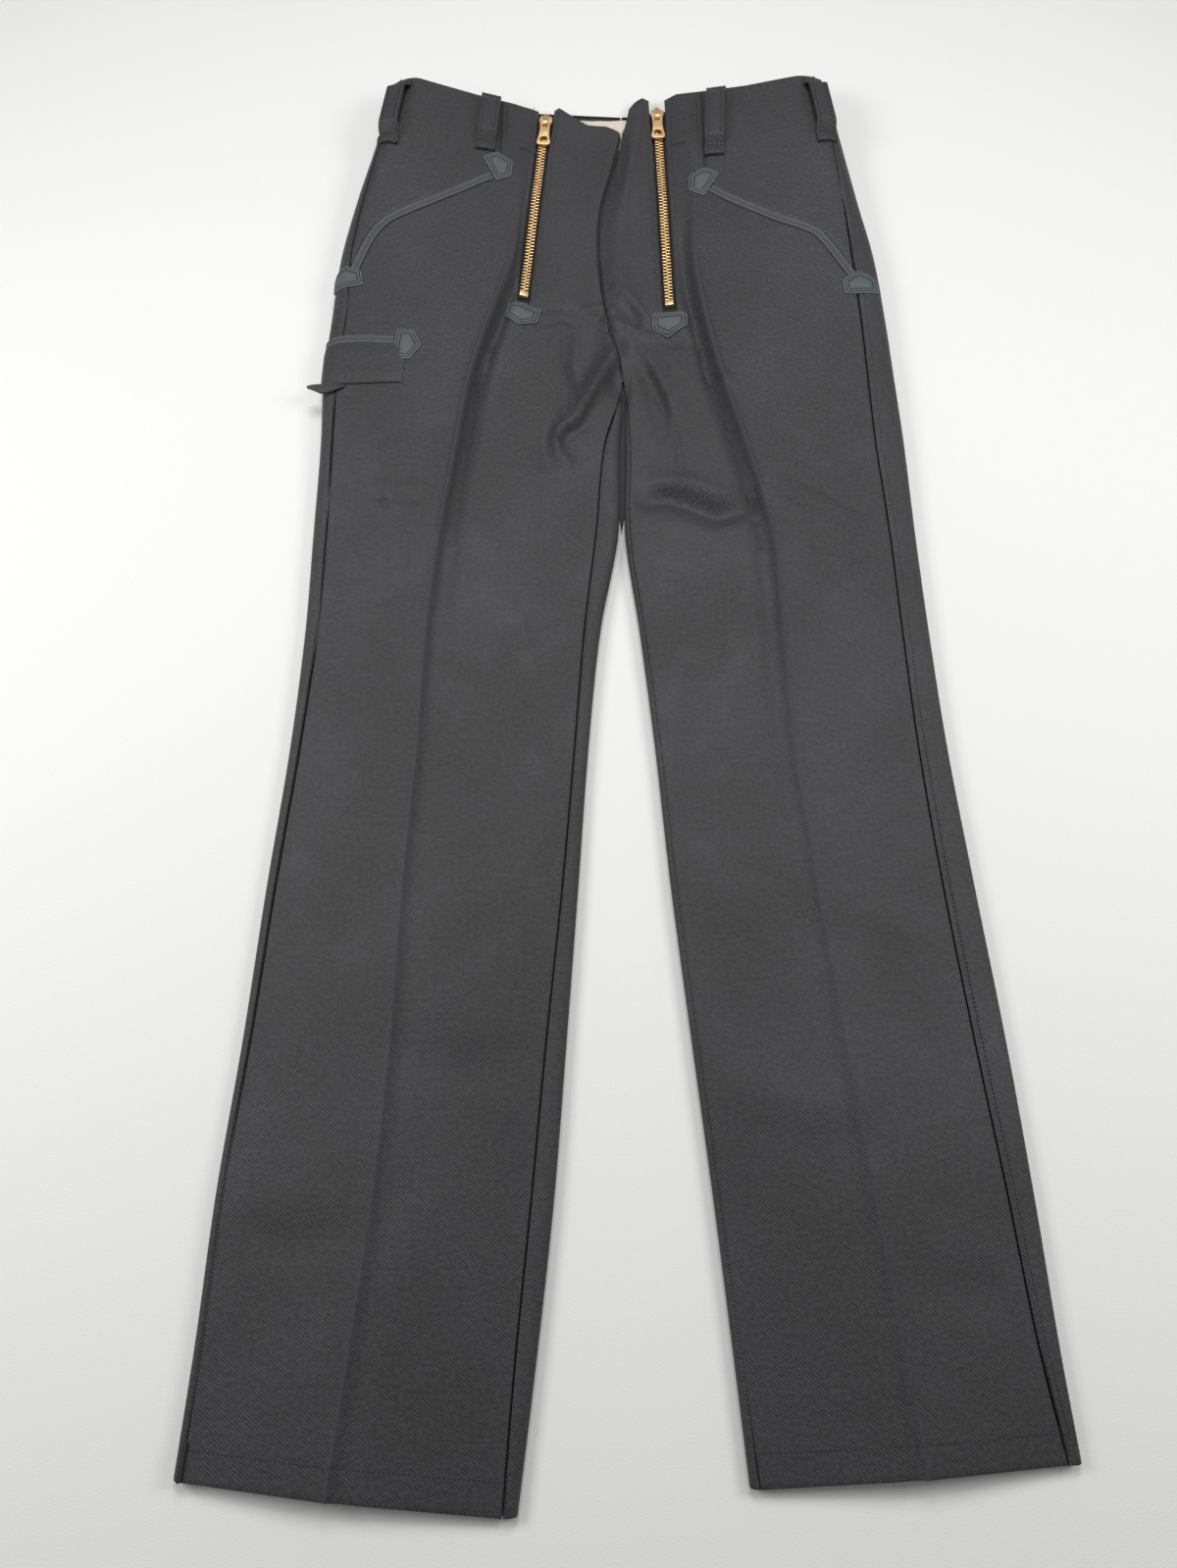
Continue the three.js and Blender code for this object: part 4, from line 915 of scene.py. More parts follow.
SLOT_FOOT = 7  # the slit goes on this far below the bottom stop
SLIT_RIM = 0.4  # how far the turned edge of the slit stands up
SLIDER_ROOM = 1.2  # how much further the slit opens to each side of the slider


def slot_half(side_name, y):
    """Half the slit's width at a level: wider round the slider."""
    half = bpy.context.scene.trousers_cloth.slot_width / MM / 2
    top = ZIPS[side_name]["top"][1]
    return half + SLIDER_ROOM * smoothstep(top - 34, top - 12, y)


def front_guides(leg, s):
    """Distances that the front's columns run through: centre or inseam, slit, crease and outer edge."""
    def settle(distance_at):
        distance = distance_at(s.up)
        for _ in range(5):
            distance = distance_at(leg.row_level(s, distance))
        return distance

    inseam = s.inseam + SEAM_GAP / 2
    lap = [inseam - fly_lap(leg, s.up)] if leg.side < 0 else []
    down = 1 - smoothstep(650, 850, s.up)
    slit = []
    for hand, share in ((-1, 0.5), (1, 0.62)):
        at_zip = settle(lambda y: leg.side * zip_line(leg.name, y) + hand * slot_half(leg.name, y))
        slit.append(lerp(at_zip, inseam + (s.crease - inseam) * share, down))
    end = leg.mouth_levels[0]

    def edge_at(y):
        mouth = np.interp(y, leg.mouth_levels, leg.mouth_distances)
        return np.where(y >= end, mouth, s.outseam - SEAM_GAP / 2)

    return [*lap, inseam, *slit, s.crease, settle(edge_at)]


FLY_LAP = 11  # how far the right half runs on under the left half's edge
FRONT_COLUMNS = [24, 2, 8, 30]  # from the centre to the slit, over it, to the crease and to the outer edge
SLIT_ROUND, FLY_ROUND, FRONT_ROUND = 1.2, 1.1, 1.4  # how round the front's edges are worn


def fly_lap(leg, up):
    return FLY_LAP * smoothstep(CROTCH_UP - 12, CROTCH_UP + 30, up) * (leg.side < 0)


def build_front(leg):
    """One front panel with its half of the fly flap, slit for its zip."""
    cloth = bpy.context.scene.trousers_cloth
    s = leg.section(levels(leg, cloth.front_step / MM))
    guides = front_guides(leg, s)
    spans = [spread(a, b, n) for a, b, n in zip(guides[-5:], guides[-4:], FRONT_COLUMNS)]
    if leg.side < 0:
        spans.insert(0, spread(guides[0], guides[1], 2))
    lapped = len(spans) - len(FRONT_COLUMNS)
    d = np.concatenate([*spans, guides[-1][:, None]], axis=1)
    wide = leg.section(np.repeat(s.up[:, None], d.shape[1], axis=1))
    x, y = leg.side * d, leg.row_level(wide, d)
    base = np.stack([x, y, leg.height(wide, d)], axis=-1)
    normals = grid_normals(base, leg.side)
    foot = ZIPS[leg.name]["bottom"][1] - SLOT_FOOT
    open_rows = smoothstep(foot - 1, foot + 1, y)
    drop = rounded_edge(guides[-1][:, None] - d, FRONT_ROUND)
    for into_cloth in (guides[-4][:, None] - d, d - guides[-3][:, None]):
        lip = rounded_edge(into_cloth, SLIT_ROUND) - SLIT_RIM * mound(into_cloth, 1.4, 0.8)
        drop += lip * open_rows * (into_cloth >= -0.01)
    centre = d - guides[-5][:, None]
    drop += rounded_edge(np.where(centre < 0, 9, centre), FLY_ROUND)
    outer, inner, turns = hemmed(base, normals, drop, HEM_TURN, WAIST_TURN)
    under = (CLOTH + LAYER_GAP) * smoothstep(0.7, -0.3, centre) * (fly_lap(leg, wide.up) > 0)
    for grid in (outer, inner):
        grid[..., 2] -= carried_on(under, turns)
    weave = carried_on(pairs(x, y), turns)
    weave[..., 1] += np.arange(len(weave))[:, None] * 0.01
    keep = np.ones((outer.shape[0] - 1, outer.shape[1] - 1), bool)
    starts = np.cumsum([0] + [span.shape[1] for span in spans])
    first, last = starts[lapped + 1], starts[lapped + 2]
    row_levels = np.concatenate([np.full(turns[0], -1e3), y[:, first], np.full(turns[1], 1e4)])
    keep[:, first:last] = (row_levels[:-1] < foot)[:, None]
    if lapped:
        keep[:, :starts[1]] = (row_levels[:-1] > CROTCH_UP)[:, None]
    # A painted highlight along the pressed crease's ridge: paler colour that stands for its shine.
    wear_and_painted_light = by_level(PRESS_PAINTED_HIGHLIGHT, wide.up)[0] * mound(d, s.crease[:, None], CREASE_HIGHLIGHT_WIDTH)
    keep, wear_and_painted_light = facing(leg, keep, carried_on(wear_and_painted_light, turns))
    return wall("front_panel_" + leg.name, *facing(leg, outer, inner, weave), keep=keep, wear_and_painted_light=wear_and_painted_light)


# Where the back's columns lie: shares of the outer roll down to its side and on to the floor, columns
# on the floor, and shares of the inner roll up to the inseam.
BACK_SIDE = [0, 0.02, 0.05, 0.1, 0.18, 0.27, 0.37, 0.48, 0.6, 0.74, 0.88]
BACK_UNDER = [0, 0.12, 0.25, 0.4, 0.55, 0.7, 0.85]
BACK_FLOOR = 14
BACK_INSIDE = [0.08, 0.16, 0.25, 0.34, 0.43, 0.52, 0.62, 0.72, 0.8, 0.88, 0.93, 0.97, 1.0]
OUTSEAM_ROUND, INSEAM_ROUND = 1.2, 1.3


def build_back(leg):
    """One back panel: round the outer roll, flat on the surface and up to the inseam."""
    cloth = bpy.context.scene.trousers_cloth
    s = leg.section(levels(leg, cloth.back_step / MM))
    start = roll_angle(s.reach, s.side_z, s.outseam - s.roll_x)
    rows = []
    for low, high, shares in ((start, math.pi / 2, BACK_SIDE), (math.pi / 2, math.pi, BACK_UNDER)):
        for t in shares:
            x, z = roll_point(s.reach, s.side_z, lerp(low, high, t))
            rows.append((s.roll_x + x, z))
    rows[0] = (rows[0][0] + SEAM_GAP / 2, rows[0][1])
    rows += [(lerp(s.roll_x, s.inner_roll_x, t), s.up * 0) for t in np.linspace(0, 1, BACK_FLOOR)]
    seam = s.seam_angle()
    for t in BACK_INSIDE:
        x, z = s.inner_roll_point(lerp(math.pi, seam, t))
        seat = lerp(s.inner_roll_x, s.inseam + SEAM_GAP / 2, t)
        rows.append((lerp(seat, x - SEAM_GAP / 2 * (t == 1), s.curl), z * s.curl))
    d, z = (np.array(column).T for column in zip(*rows))
    wide = leg.section(np.repeat(s.up[:, None], d.shape[1], axis=1))
    near_seam = smoothstep(wide.roll_x, wide.outseam, d)
    y = lerp(leg.row_level(wide, d, back=True), leg.row_level(wide, np.minimum(d, wide.outseam)), near_seam)
    base = np.stack([leg.side * d, y, z], axis=-1)
    arc = arc_lengths(base)
    drop = rounded_edge(arc, OUTSEAM_ROUND) + rounded_edge(arc[:, -1:] - arc, INSEAM_ROUND) * wide.curl
    outer, inner, turns = hemmed(base, grid_normals(base, leg.side), drop, HEM_TURN, 0)
    weave = carried_on(pairs((s.outseam[:, None] + arc) * leg.side, y), turns)
    panel = wall("back_panel_" + leg.name, *facing(leg, outer, inner, weave))
    if leg.side > 0:
        seat = build_seat_point()
        pick(panel)
        seat.select_set(True)
        bpy.ops.object.join()
        deselect()
    return panel


SEAT_POINT = {"low": 660, "high": 808, "under": 5.0, "top": 1.2}
SEAT_POINT_ACROSS = np.array([0, 0.08, 0.2, 0.35, 0.5, 0.65, 0.8, 0.92, 1])


def build_seat_point():
    """The point of the back's seat seam, which lies on the surface between the legs below the fly."""
    y = np.linspace(SEAT_POINT["low"], SEAT_POINT["high"], 40)
    edges = [leg.side * (leg.section(y).inner - SEAT_POINT["under"]) for leg in LEGS.values()]
    middle = (edges[0] + edges[1]) / 2
    open_up = smoothstep(SEAT_POINT["low"] - 4, SEAT_POINT["low"] + 26, y)
    low, high = (middle + (edge - middle) * open_up for edge in edges)
    gx = lerp(low[:, None], high[:, None], SEAT_POINT_ACROSS)
    gy = np.repeat(y[:, None], gx.shape[1], axis=1)
    top = np.broadcast_to(SEAT_POINT["top"] - 0.5 * np.sin(math.pi * SEAT_POINT_ACROSS), gx.shape)
    outer = np.stack([gx, gy, top], axis=-1)
    return wall("seat_point", outer, outer * (1, 1, 0), pairs(gx, gy))


HIP_LOW = 884
HIP_LAP = 9  # how far a hip piece runs under the front
HIP_COLUMNS = 30
HIP_ROUND = 1.0


def build_hip(leg):
    """One hip piece, which runs on under the front at the pocket mouth and the hip seam."""
    cloth = bpy.context.scene.trousers_cloth
    high = leg.table[0, 0]
    s = leg.section(np.linspace(HIP_LOW, high, int((high - HIP_LOW) / (cloth.front_step / MM)) + 1))
    edge = np.minimum(np.interp(s.up, leg.mouth_levels, leg.mouth_distances), s.outseam - 3)
    inside = np.minimum(edge - HIP_LAP, s.outseam - 14)
    seam = s.outseam - SEAM_GAP / 2
    d = np.concatenate([spread(inside, seam, HIP_COLUMNS), seam[:, None]], axis=1)
    wide = leg.section(np.repeat(s.up[:, None], d.shape[1], axis=1))
    x, y = leg.side * d, leg.row_level(wide, d)
    base = np.stack([x, y, leg.height(wide, d)], axis=-1)
    normals = grid_normals(base, leg.side)
    away = d - np.interp(y, leg.mouth_levels, leg.mouth_distances)
    slope = np.where(y > leg.mouth_levels[-2], 1.0, 0.55)
    sunk = (CLOTH + LAYER_GAP) * (1 - smoothstep(0.2, 3.5, away * slope))
    drop = sunk + rounded_edge(wide.outseam - SEAM_GAP / 2 - d, HIP_ROUND)
    high_out, high_in = turned_rows(base, normals, WAIST_TURN, True)
    outer = np.concatenate([base - normals * drop[..., None], high_out])
    inner = np.concatenate([base - normals * (sunk + CLOTH)[..., None], high_in])
    weave = carried_on(pairs(x, y), (0, len(high_out)))
    return wall("hip_panel_" + leg.name, *facing(leg, outer, inner, weave))


# ---- strips sewn on the skin ----
LOOPS = {
    "belt_loop_front_right": ("right", (-110.5, 1088), (-114.5, 1025.5)),
    "belt_loop_front_left": ("left", (88, 1097), (84, 1021)),
    "belt_loop_side_right": ("right", (-187, 1091), (-197, 1023)),
    "belt_loop_side_left": ("left", (170, 1093), (180, 1025)),
}
LOOP_WIDTH, LOOP_THICK, LOOP_LIFT, LOOP_END, LOOP_TURN = 17, 2.2, 7, 9, 1.1
LOOP_GAP = 0.1  # between a loop's foot and the cloth


def loop_lift(q, length_mm):
    """How far a loop stands off the cloth between its two ends."""
    rise, fall = smoothstep(LOOP_END - 2, LOOP_END + 9, q), smoothstep(length_mm - 14, length_mm - 3, q)
    return LOOP_LIFT * rise * (1 - fall)


def loop_skin(name, q, offset):
    """Points under a belt loop and its normals, at lengths up from its foot and offsets across it."""
    side_name, top, bottom = LOOPS[name]
    leg = LEGS[side_name]
    top, bottom = np.array(top, float), np.array(bottom, float)
    along = unit(top - bottom)
    across = np.array([along[1], -along[0]])
    q, offset = np.broadcast_arrays(np.asarray(q, float), np.asarray(offset, float))
    plan = bottom + along * q[..., None] + across * offset[..., None]
    lift = LOOP_GAP + loop_lift(q, math.dist(top, bottom))
    laid, laid_normal = leg.raised(plan[..., 0], plan[..., 1], lift)
    middle = bottom + along * q[..., None]
    centre, normal = leg.raised(middle[..., 0], middle[..., 1], lift)
    sideways = unit(np.cross(np.append(along, 0.0), normal))
    straight = centre + sideways * offset[..., None]
    free = ((lift - LOOP_GAP) / LOOP_LIFT)[..., None]
    return lerp(laid, straight, free), lerp(laid_normal, normal, free)


def loop_foot(q):
    """How much thicker a loop is over its turned foot."""
    return LOOP_TURN * (1 - smoothstep(LOOP_END - 3.5, LOOP_END, q))


def build_belt_loop(name):
    """A belt loop, quilted along both edges, with a turned foot and a free middle."""
    _, top, bottom = LOOPS[name]
    length_mm, half = math.dist(top, bottom), LOOP_WIDTH / 2
    q = np.concatenate([[0, 0.35, 0.9, 1.7], np.linspace(2.8, length_mm - 1.2, 56), [length_mm - 0.4, length_mm]])
    edge_shares = np.array([0.84, 0.92, 0.97, 1])
    share = np.concatenate([-edge_shares[::-1], np.linspace(-0.7, 0.7, 13), edge_shares])
    gq, gs = np.meshgrid(q, share, indexing="ij")
    base, normals = loop_skin(name, gq, gs * half)
    inset = half * (1 - np.abs(gs))
    quilt = 0.3 * mound(inset, 3, 0.8) - 0.2 * mound(inset, 1.3, 0.8)
    ends = rounded_edge(gq, 1.9) + rounded_edge(length_mm - gq, 1.1) + 0.45 * mound(gq, LOOP_END + 0.6, 0.9)
    thick = LOOP_THICK + loop_foot(gq) - rounded_edge(inset, 1.1) - quilt - ends
    piece = wall(name + "_strap", base + normals * thick[..., None], base, pairs(gs * half, gq), angle=70)
    return dress(piece, "cloth", name)


def mouth_piping(leg):
    """The middle of the leather binding along a pocket mouth, on the front's side of it."""
    start = {"right": 6.5, "left": 9.5}[leg.name]
    centre, along = resample(leg.mouth, 2.0, start)
    beyond = np.arange(2, {"right": 3, "left": 7}[leg.name], 2)[:, None]
    centre = np.vstack([centre, centre[-1] + along[-1] * beyond])
    along = np.vstack([along, np.repeat(along[-1:], len(beyond), axis=0)])
    inward = np.column_stack([along[:, 1], -along[:, 0]]) * leg.side
    return centre + inward * PIPING_IN, along


# Across a binding: distance from its middle, height. It is rolled at both edges and flat between them.
PIPING_PROFILE = [(-3.6, -0.9), (-3.5, 0.35), (-3.2, 1.0), (-2.8, 1.35), (-2.3, 1.45), (-1.8, 1.28), (-1.3, 1.05),
                  (-0.6, 0.98), (0, 0.95), (0.6, 0.98), (1.3, 1.05), (1.8, 1.28), (2.3, 1.45), (2.8, 1.35),
                  (3.2, 1.0), (3.5, 0.35), (3.6, 0.0)]
PIPING_IN = 2.6  # how far in from the pocket's edge its middle lies
PIPING_EDGE, PIPING_RIDGE = 3.9, 2.6  # where the ditch and the pale ridges (rubbed wear and a painted highlight) lie
PIPING_LIFT = 0.05
RULE_PIPING = [(-182.5, 826.5), (-205, 828.5), (-226, 828), (-242, 825), (-250, 822.5)]


def build_piping(name, leg, centre, along, node):
    """A leather binding along plan points, paler along its two ridges (rubbed wear and a painted highlight) and
    darker elsewhere.
    """
    side = np.column_stack([along[:, 1], -along[:, 0]])
    offsets, heights = np.array(PIPING_PROFILE, float).T
    x, y = (centre[:, k:k + 1] + side[:, k:k + 1] * offsets for k in (0, 1))
    base, normals = leg.raised(x, y)
    outer, inner = base + normals * (PIPING_LIFT + heights)[:, None], base - normals * PIPING_LIFT
    weave = pairs(*np.broadcast_arrays(offsets[None, :], run_length(centre)[:, None]))
    # Pale on the two ridges, rubbed wear with a painted highlight; darker over the rest of the binding.
    ridges = 0.8 * mound(np.abs(offsets), PIPING_RIDGE, 0.5) - 0.5
    wear_and_painted_light = np.tile(ridges, (len(centre), 1))
    return dress(wall(name, outer, inner, weave, angle=80, wear_and_painted_light=wear_and_painted_light), "leather", node)


# Stores a per-point rim value: above zero paler (painted highlight, with rubbed wear on leather), below zero
# darker (painted shade).
def set_wear_and_painted_light(piece, values):
    layer = piece.data.attributes.new("rim", "FLOAT", "POINT")
    layer.data.foreach_set("value", np.asarray(values, np.float32))


# ---- leather patches ----
PATCH_SIDE, PATCH_PEAK = 14, 8
PATCHES = {  # side, middle of the straight edge, turn in degrees, lift off the cloth
    "patch_pocket_top_right": ("right", (-110, 1006), -64, 0.1),
    "patch_pocket_top_left": ("left", (80.5, 989.5), 61, 0.1),
    "patch_pocket_foot_right": ("right", (-225, 879), 8, 0.1),
    "patch_pocket_foot_left": ("left", (200, 873), 3, 0.1),
    "patch_zip_right": ("right", (-78, 867), 166, 0.35),
    "patch_zip_left": ("left", (42, 858.5), 178, 0.35),
    "patch_rule_pocket": ("right", (-182, 823), -95, 0.1),
}
PATCH_ROWS = (1.7, 4.1)  # stitch rows, inwards from the edge


def pentagon(inset, width):
    """Corners of a patch's outline, moved in from its edge."""
    half = width / 2
    corners = [(-half, 0), (half, 0), (half, PATCH_SIDE), (0, PATCH_SIDE + PATCH_PEAK), (-half, PATCH_SIDE)]
    lines = []
    for (ax, ay), (bx, by) in zip(corners, corners[1:] + corners[:1]):
        run = math.hypot(bx - ax, by - ay)
        nx, ny = -(by - ay) / run, (bx - ax) / run
        lines.append((nx, ny, nx * ax + ny * ay + inset))
    made = []
    for (a, b, c), (d, e, f) in zip(lines[-1:] + lines[:-1], lines):
        det = a * e - b * d
        made.append(((c * e - b * f) / det, (a * f - c * d) / det))
    return made


CORNER_ROUND = 2.2


def patch_outline(inset, width):
    """The same outline with rounded corners: as many points along each side and corner at every inset."""
    corners = np.array(pentagon(inset, width))
    radius = max(CORNER_ROUND - inset * 0.35, 0.6)
    ends = []
    for k, here in enumerate(corners):
        before, after = corners[k - 1], corners[(k + 1) % 5]
        ends.append((here + unit(before - here) * radius, here, here + unit(after - here) * radius))
    points = []
    for (a, here, b), (beyond, _, _) in zip(ends, ends[1:] + ends[:1]):
        t = np.linspace(0, 1, 7)[:, None]
        points.append((1 - t) ** 2 * a + 2 * t * (1 - t) * here + t ** 2 * b)
        points.append(lerp(b, beyond, np.linspace(0, 1, 18)[1:-1, None]))
    return np.vstack(points)


def patch_plan(at, turn, points):
    angle = math.radians(turn)
    x, y = points[..., 0], points[..., 1]
    return (at[0] + x * math.cos(angle) - y * math.sin(angle),
            at[1] + x * math.sin(angle) + y * math.cos(angle))


# Rings of a patch: insets from its edge, then shares of the last one that close it, and how far in
# these count for its dome.
PATCH_INSETS = [0, 0.12, 0.35, 0.7, 1.1, 1.45, 1.7, 1.95, 2.3, 2.8, 3.3, 3.75, 4.1, 4.45, 4.9]
PATCH_CLOSING = {0.8: 6, 0.6: 7, 0.4: 8, 0.2: 9}
RIDGE_IN = 2.9  # the padded ridge between its two stitch rows


def build_patch(name):
    """A five-sided leather patch with a padded rim between two grooves for its stitches."""
    side_name, at, turn, lift = PATCHES[name]
    leg, trim = LEGS[side_name], bpy.context.scene.trousers_trim
    rings = [patch_outline(inset, trim.patch_width / MM) for inset in PATCH_INSETS]
    middle = np.array([0, (PATCH_SIDE + PATCH_PEAK) * 0.47])
    rings += [middle + (rings[-1] - middle) * share for share in PATCH_CLOSING]
    depths = np.array(PATCH_INSETS + list(PATCH_CLOSING.values()), float)
    rows, count = len(rings), len(rings[0])
    base, normals = leg.raised(*patch_plan(at, turn, np.array(rings)))
    groove = sum(mound(depths, row, 0.5) for row in PATCH_ROWS)
    height = trim.leather / MM - rounded_edge(depths, 0.9)
    height += 0.3 * mound(depths, RIDGE_IN, 0.8) + 0.35 * smoothstep(4.6, 8, depths) - 0.42 * groove
    outer = base + normals * (lift + height)[:, None, None]
    floor = base + normals * lift * 0.3
    points = np.concatenate([outer.reshape(-1, 3), outer[-1].mean(0)[None], floor[0], floor[-1].mean(0)[None]])
    ring = np.arange(count)
    after = (ring + 1) % count
    quads = np.concatenate([
        np.column_stack([r + ring, r + after, r + count + after, r + count + ring])
        for r in range(0, (rows - 1) * count, count)])
    last, peak, under = (rows - 1) * count, rows * count, rows * count + 1
    cap = np.column_stack([last + ring, last + after, np.full(count, peak)])
    skirt = np.column_stack([under + ring, under + after, after, ring])
    base_cap = np.column_stack([under + after, under + ring, np.full(count, under + count)])
    piece, used, _ = new_mesh(name + "_leather", points, [quads, cap, skirt, base_cap])
    # Paler at the rounded edge and on the padded ridge, rubbed wear with a painted highlight; darker in the stitch
    # grooves, a painted shade; slightly paler on its sides.
    wear_and_painted_light = mound(depths, 0.5, 0.6) + 0.5 * mound(depths, RIDGE_IN, 0.55) - 0.9 * groove
    rim = np.concatenate([np.repeat(wear_and_painted_light, count), [0], np.ones(count) * 0.2, [0]])
    set_wear_and_painted_light(piece, rim[used])
    smooth(piece, 70)
    return dress(piece, "leather", name)


# ---- small parts copied many times ----
def shape_of(piece):
    """Takes a modelled piece away and gives back its points and its faces by number of corners."""
    points = np.array([v.co for v in piece.data.vertices])
    faces = {}
    for face in piece.data.polygons:
        faces.setdefault(len(face.vertices), []).append(list(face.vertices))
    bpy.data.objects.remove(piece)
    return points, [np.array(group) for group in faces.values()]


def scatter(name, shape, places, axes, angle=60):
    """Joins copies of a shape, each at a place with its own three axes (count x axis x xyz)."""
    points, groups = shape
    count = len(places)
    spread_points = places[:, None, :] + np.einsum("pk,nkc->npc", points, axes)
    starts = (np.arange(count) * len(points))[:, None, None]
    faces = [(group[None] + starts).reshape(-1, group.shape[1]) for group in groups]
    piece, _, _ = new_mesh(name, spread_points.reshape(-1, 3), faces)
    smooth(piece, angle)
    return piece


def bevelled_block(size, offset):
    """A block with rounded edges, in millimetres, centred on the origin."""
    deselect()
    bpy.ops.mesh.primitive_cube_add(size=1)
    block = bpy.context.object
    bpy.ops.transform.resize(value=size)
    bpy.ops.object.transform_apply(location=True, rotation=True, scale=True)
    bpy.ops.object.mode_set(mode="EDIT")
    bpy.ops.mesh.select_all(action="SELECT")
    bpy.ops.mesh.bevel(offset=offset, segments=2, affect="EDGES")
    bpy.ops.object.mode_set(mode="OBJECT")
    return block


# ---- zips ----
CHAIN = {"half": 3.55, "past": 0.45, "base": -2.1, "top": 0.9, "bar": 1.2}
STOP_TOP = 6
SLIDER_LENGTH = 14
TAPE = {"half": 12, "low": -8, "under": -2.4, "thick": 0.8, "bead": 3.9}
# The small metal of a zip: its kind, what its piece is called, and the radius of its edges.
ZIP_METAL = [("slider", "body", 0.35), ("pull", "plate", 0.3), ("stop", "block", 0.5)]


class Zip:
    """Where a zip lies: up from its bottom stop, and across its width."""

    def __init__(self, leg):
        top, bottom = (np.array(ZIPS[leg.name][end], float) for end in ("top", "bottom"))
        self.leg, self.bottom = leg, bottom
        self.length = np.linalg.norm(top - bottom)
        self.along = (top - bottom) / self.length
        self.across = np.array([self.along[1], -self.along[0]])

    def plan(self, across, up):
        across, up = np.broadcast_arrays(np.asarray(across, float), np.asarray(up, float))
        points = self.bottom + across[..., None] * self.across + up[..., None] * self.along
        return points[..., 0], points[..., 1]

    def axes(self, ups):
        """Places on the zip's middle line, and across, along and out of it, at each level."""
        place, _ = self.leg.raised(*self.plan(0, ups))
        ahead, _ = self.leg.raised(*self.plan(0, ups + 8))
        behind, _ = self.leg.raised(*self.plan(0, ups - 8))
        along = unit(ahead - behind)
        out = unit(np.cross(np.append(self.across, 0.0), along))
        return place, np.stack([np.cross(along, out), along, out], axis=1)


def build_teeth(leg):
    """Both rows of teeth of a zip, one side half a pitch behind the other."""
    zip_ = Zip(leg)
    trim = bpy.context.scene.trousers_trim
    pitch = trim.tooth_pitch / MM
    reach = CHAIN["half"] + CHAIN["past"]
    height = CHAIN["top"] - CHAIN["base"]
    tooth = shape_of(bevelled_block((reach, CHAIN["bar"], height), 0.3))
    places, axes = [], []
    for hand in (-1, 1):
        start = STOP_TOP + 1.2 + (pitch / 2 if hand > 0 else 0)
        ups = np.arange(start, zip_.length - SLIDER_LENGTH + 1, pitch)
        place, frames = zip_.axes(ups)
        shift = hand * (CHAIN["half"] - reach / 2)
        places.append(place + frames[:, 0] * shift + frames[:, 2] * (CHAIN["base"] + height / 2))
        axes.append(frames)
    piece = scatter("zip_teeth_" + leg.name, tooth, np.concatenate(places), np.concatenate(axes), 40)
    return dress(piece, "zip_metal", "zip_chain_" + leg.name)


def build_tape(leg):
    """The woven tape under the teeth, with a bead along the teeth."""
    zip_ = Zip(leg)
    ups = np.linspace(TAPE["low"], zip_.length - 2, 60)
    edge_shares = np.array([0.5, 0.7, 0.9, 0.97, 1])
    shares = np.concatenate([-edge_shares[::-1], np.linspace(-0.38, 0.38, 13), edge_shares])
    gx, gu = np.meshgrid(shares * TAPE["half"], ups)
    base, normals = leg.raised(*zip_.plan(gx, gu))
    bead = 0.75 * mound(np.abs(gx), TAPE["bead"], 0.9)
    edge = rounded_edge(TAPE["half"] - np.abs(gx), 0.3)
    outer = base + normals * (TAPE["under"] + bead - edge)[..., None]
    inner = base + normals * (TAPE["under"] - TAPE["thick"])
    piece = wall("zip_tape_weave_" + leg.name, outer, inner, pairs(gx, gu))
    return dress(piece, "zip_tape", "zip_tape_" + leg.name)


def copy_solid(node, name, radius):
    """Copies a solid whose shape is right and rounds its edges."""
    piece = bpy.data.objects.new(name, frame["nodes"][node].data.copy())
    bpy.context.scene.collection.objects.link(piece)
    pick(piece)
    bpy.ops.object.mode_set(mode="EDIT")
    bpy.ops.mesh.select_all(action="SELECT")
    bpy.ops.mesh.remove_doubles(threshold=0.00001)
    bpy.ops.mesh.dissolve_limited(angle_limit=math.radians(1))
    bpy.ops.object.mode_set(mode="OBJECT")
    round_edges = piece.modifiers.new("round", "BEVEL")
    round_edges.width, round_edges.segments = radius * MM, 3
    round_edges.limit_method, round_edges.angle_limit = "ANGLE", math.radians(50)
    bpy.ops.object.modifier_apply(modifier="round")
    smooth(piece, 35)
    return piece


def build_zip_metal(leg):
    """The slider, the pull and the bottom stop of a zip."""
    for kind, shape, radius in ZIP_METAL:
        node = f"zip_{kind}_{leg.name}"
        piece = copy_solid(node, f"zip_{kind}_{shape}_{leg.name}", radius)
        dress(piece, "zip_metal", node, body="pull_" + leg.name if kind == "pull" else "trousers")


# ---- stitches ----
def stitch_shape():
    """One stitch: a thread that dives into the cloth at both ends, 1 wide, 1 long and 1 high."""
    deselect()
    bpy.ops.mesh.primitive_uv_sphere_add(segments=6, ring_count=4, radius=0.5, rotation=(math.pi / 2, 0, 0))
    bpy.ops.object.transform_apply(location=True, rotation=True, scale=True)
    return shape_of(bpy.context.object)


def sew(name, runs, finish, slot):
    """Joins copies of one stitch along runs of (places, directions, normals, size)."""
    hand = np.random.default_rng(bpy.context.scene.trousers_stage.seed)
    places, axes = [], []
    for spots, along, normals, size in runs:
        across = unit(np.cross(along, normals))
        leaning = along + across * hand.uniform(-0.12, 0.12, (len(along), 1))
        wide, long, high = size
        lengths = long * hand.uniform(0.92, 1.04, (len(along), 1))
        places.append(spots)
        axes.append(np.stack([across * wide, leaning * lengths, normals * high], axis=1))
    piece = scatter(name, stitch_shape(), np.concatenate(places), np.concatenate(axes))
    return dress(piece, slot, finish=finish)


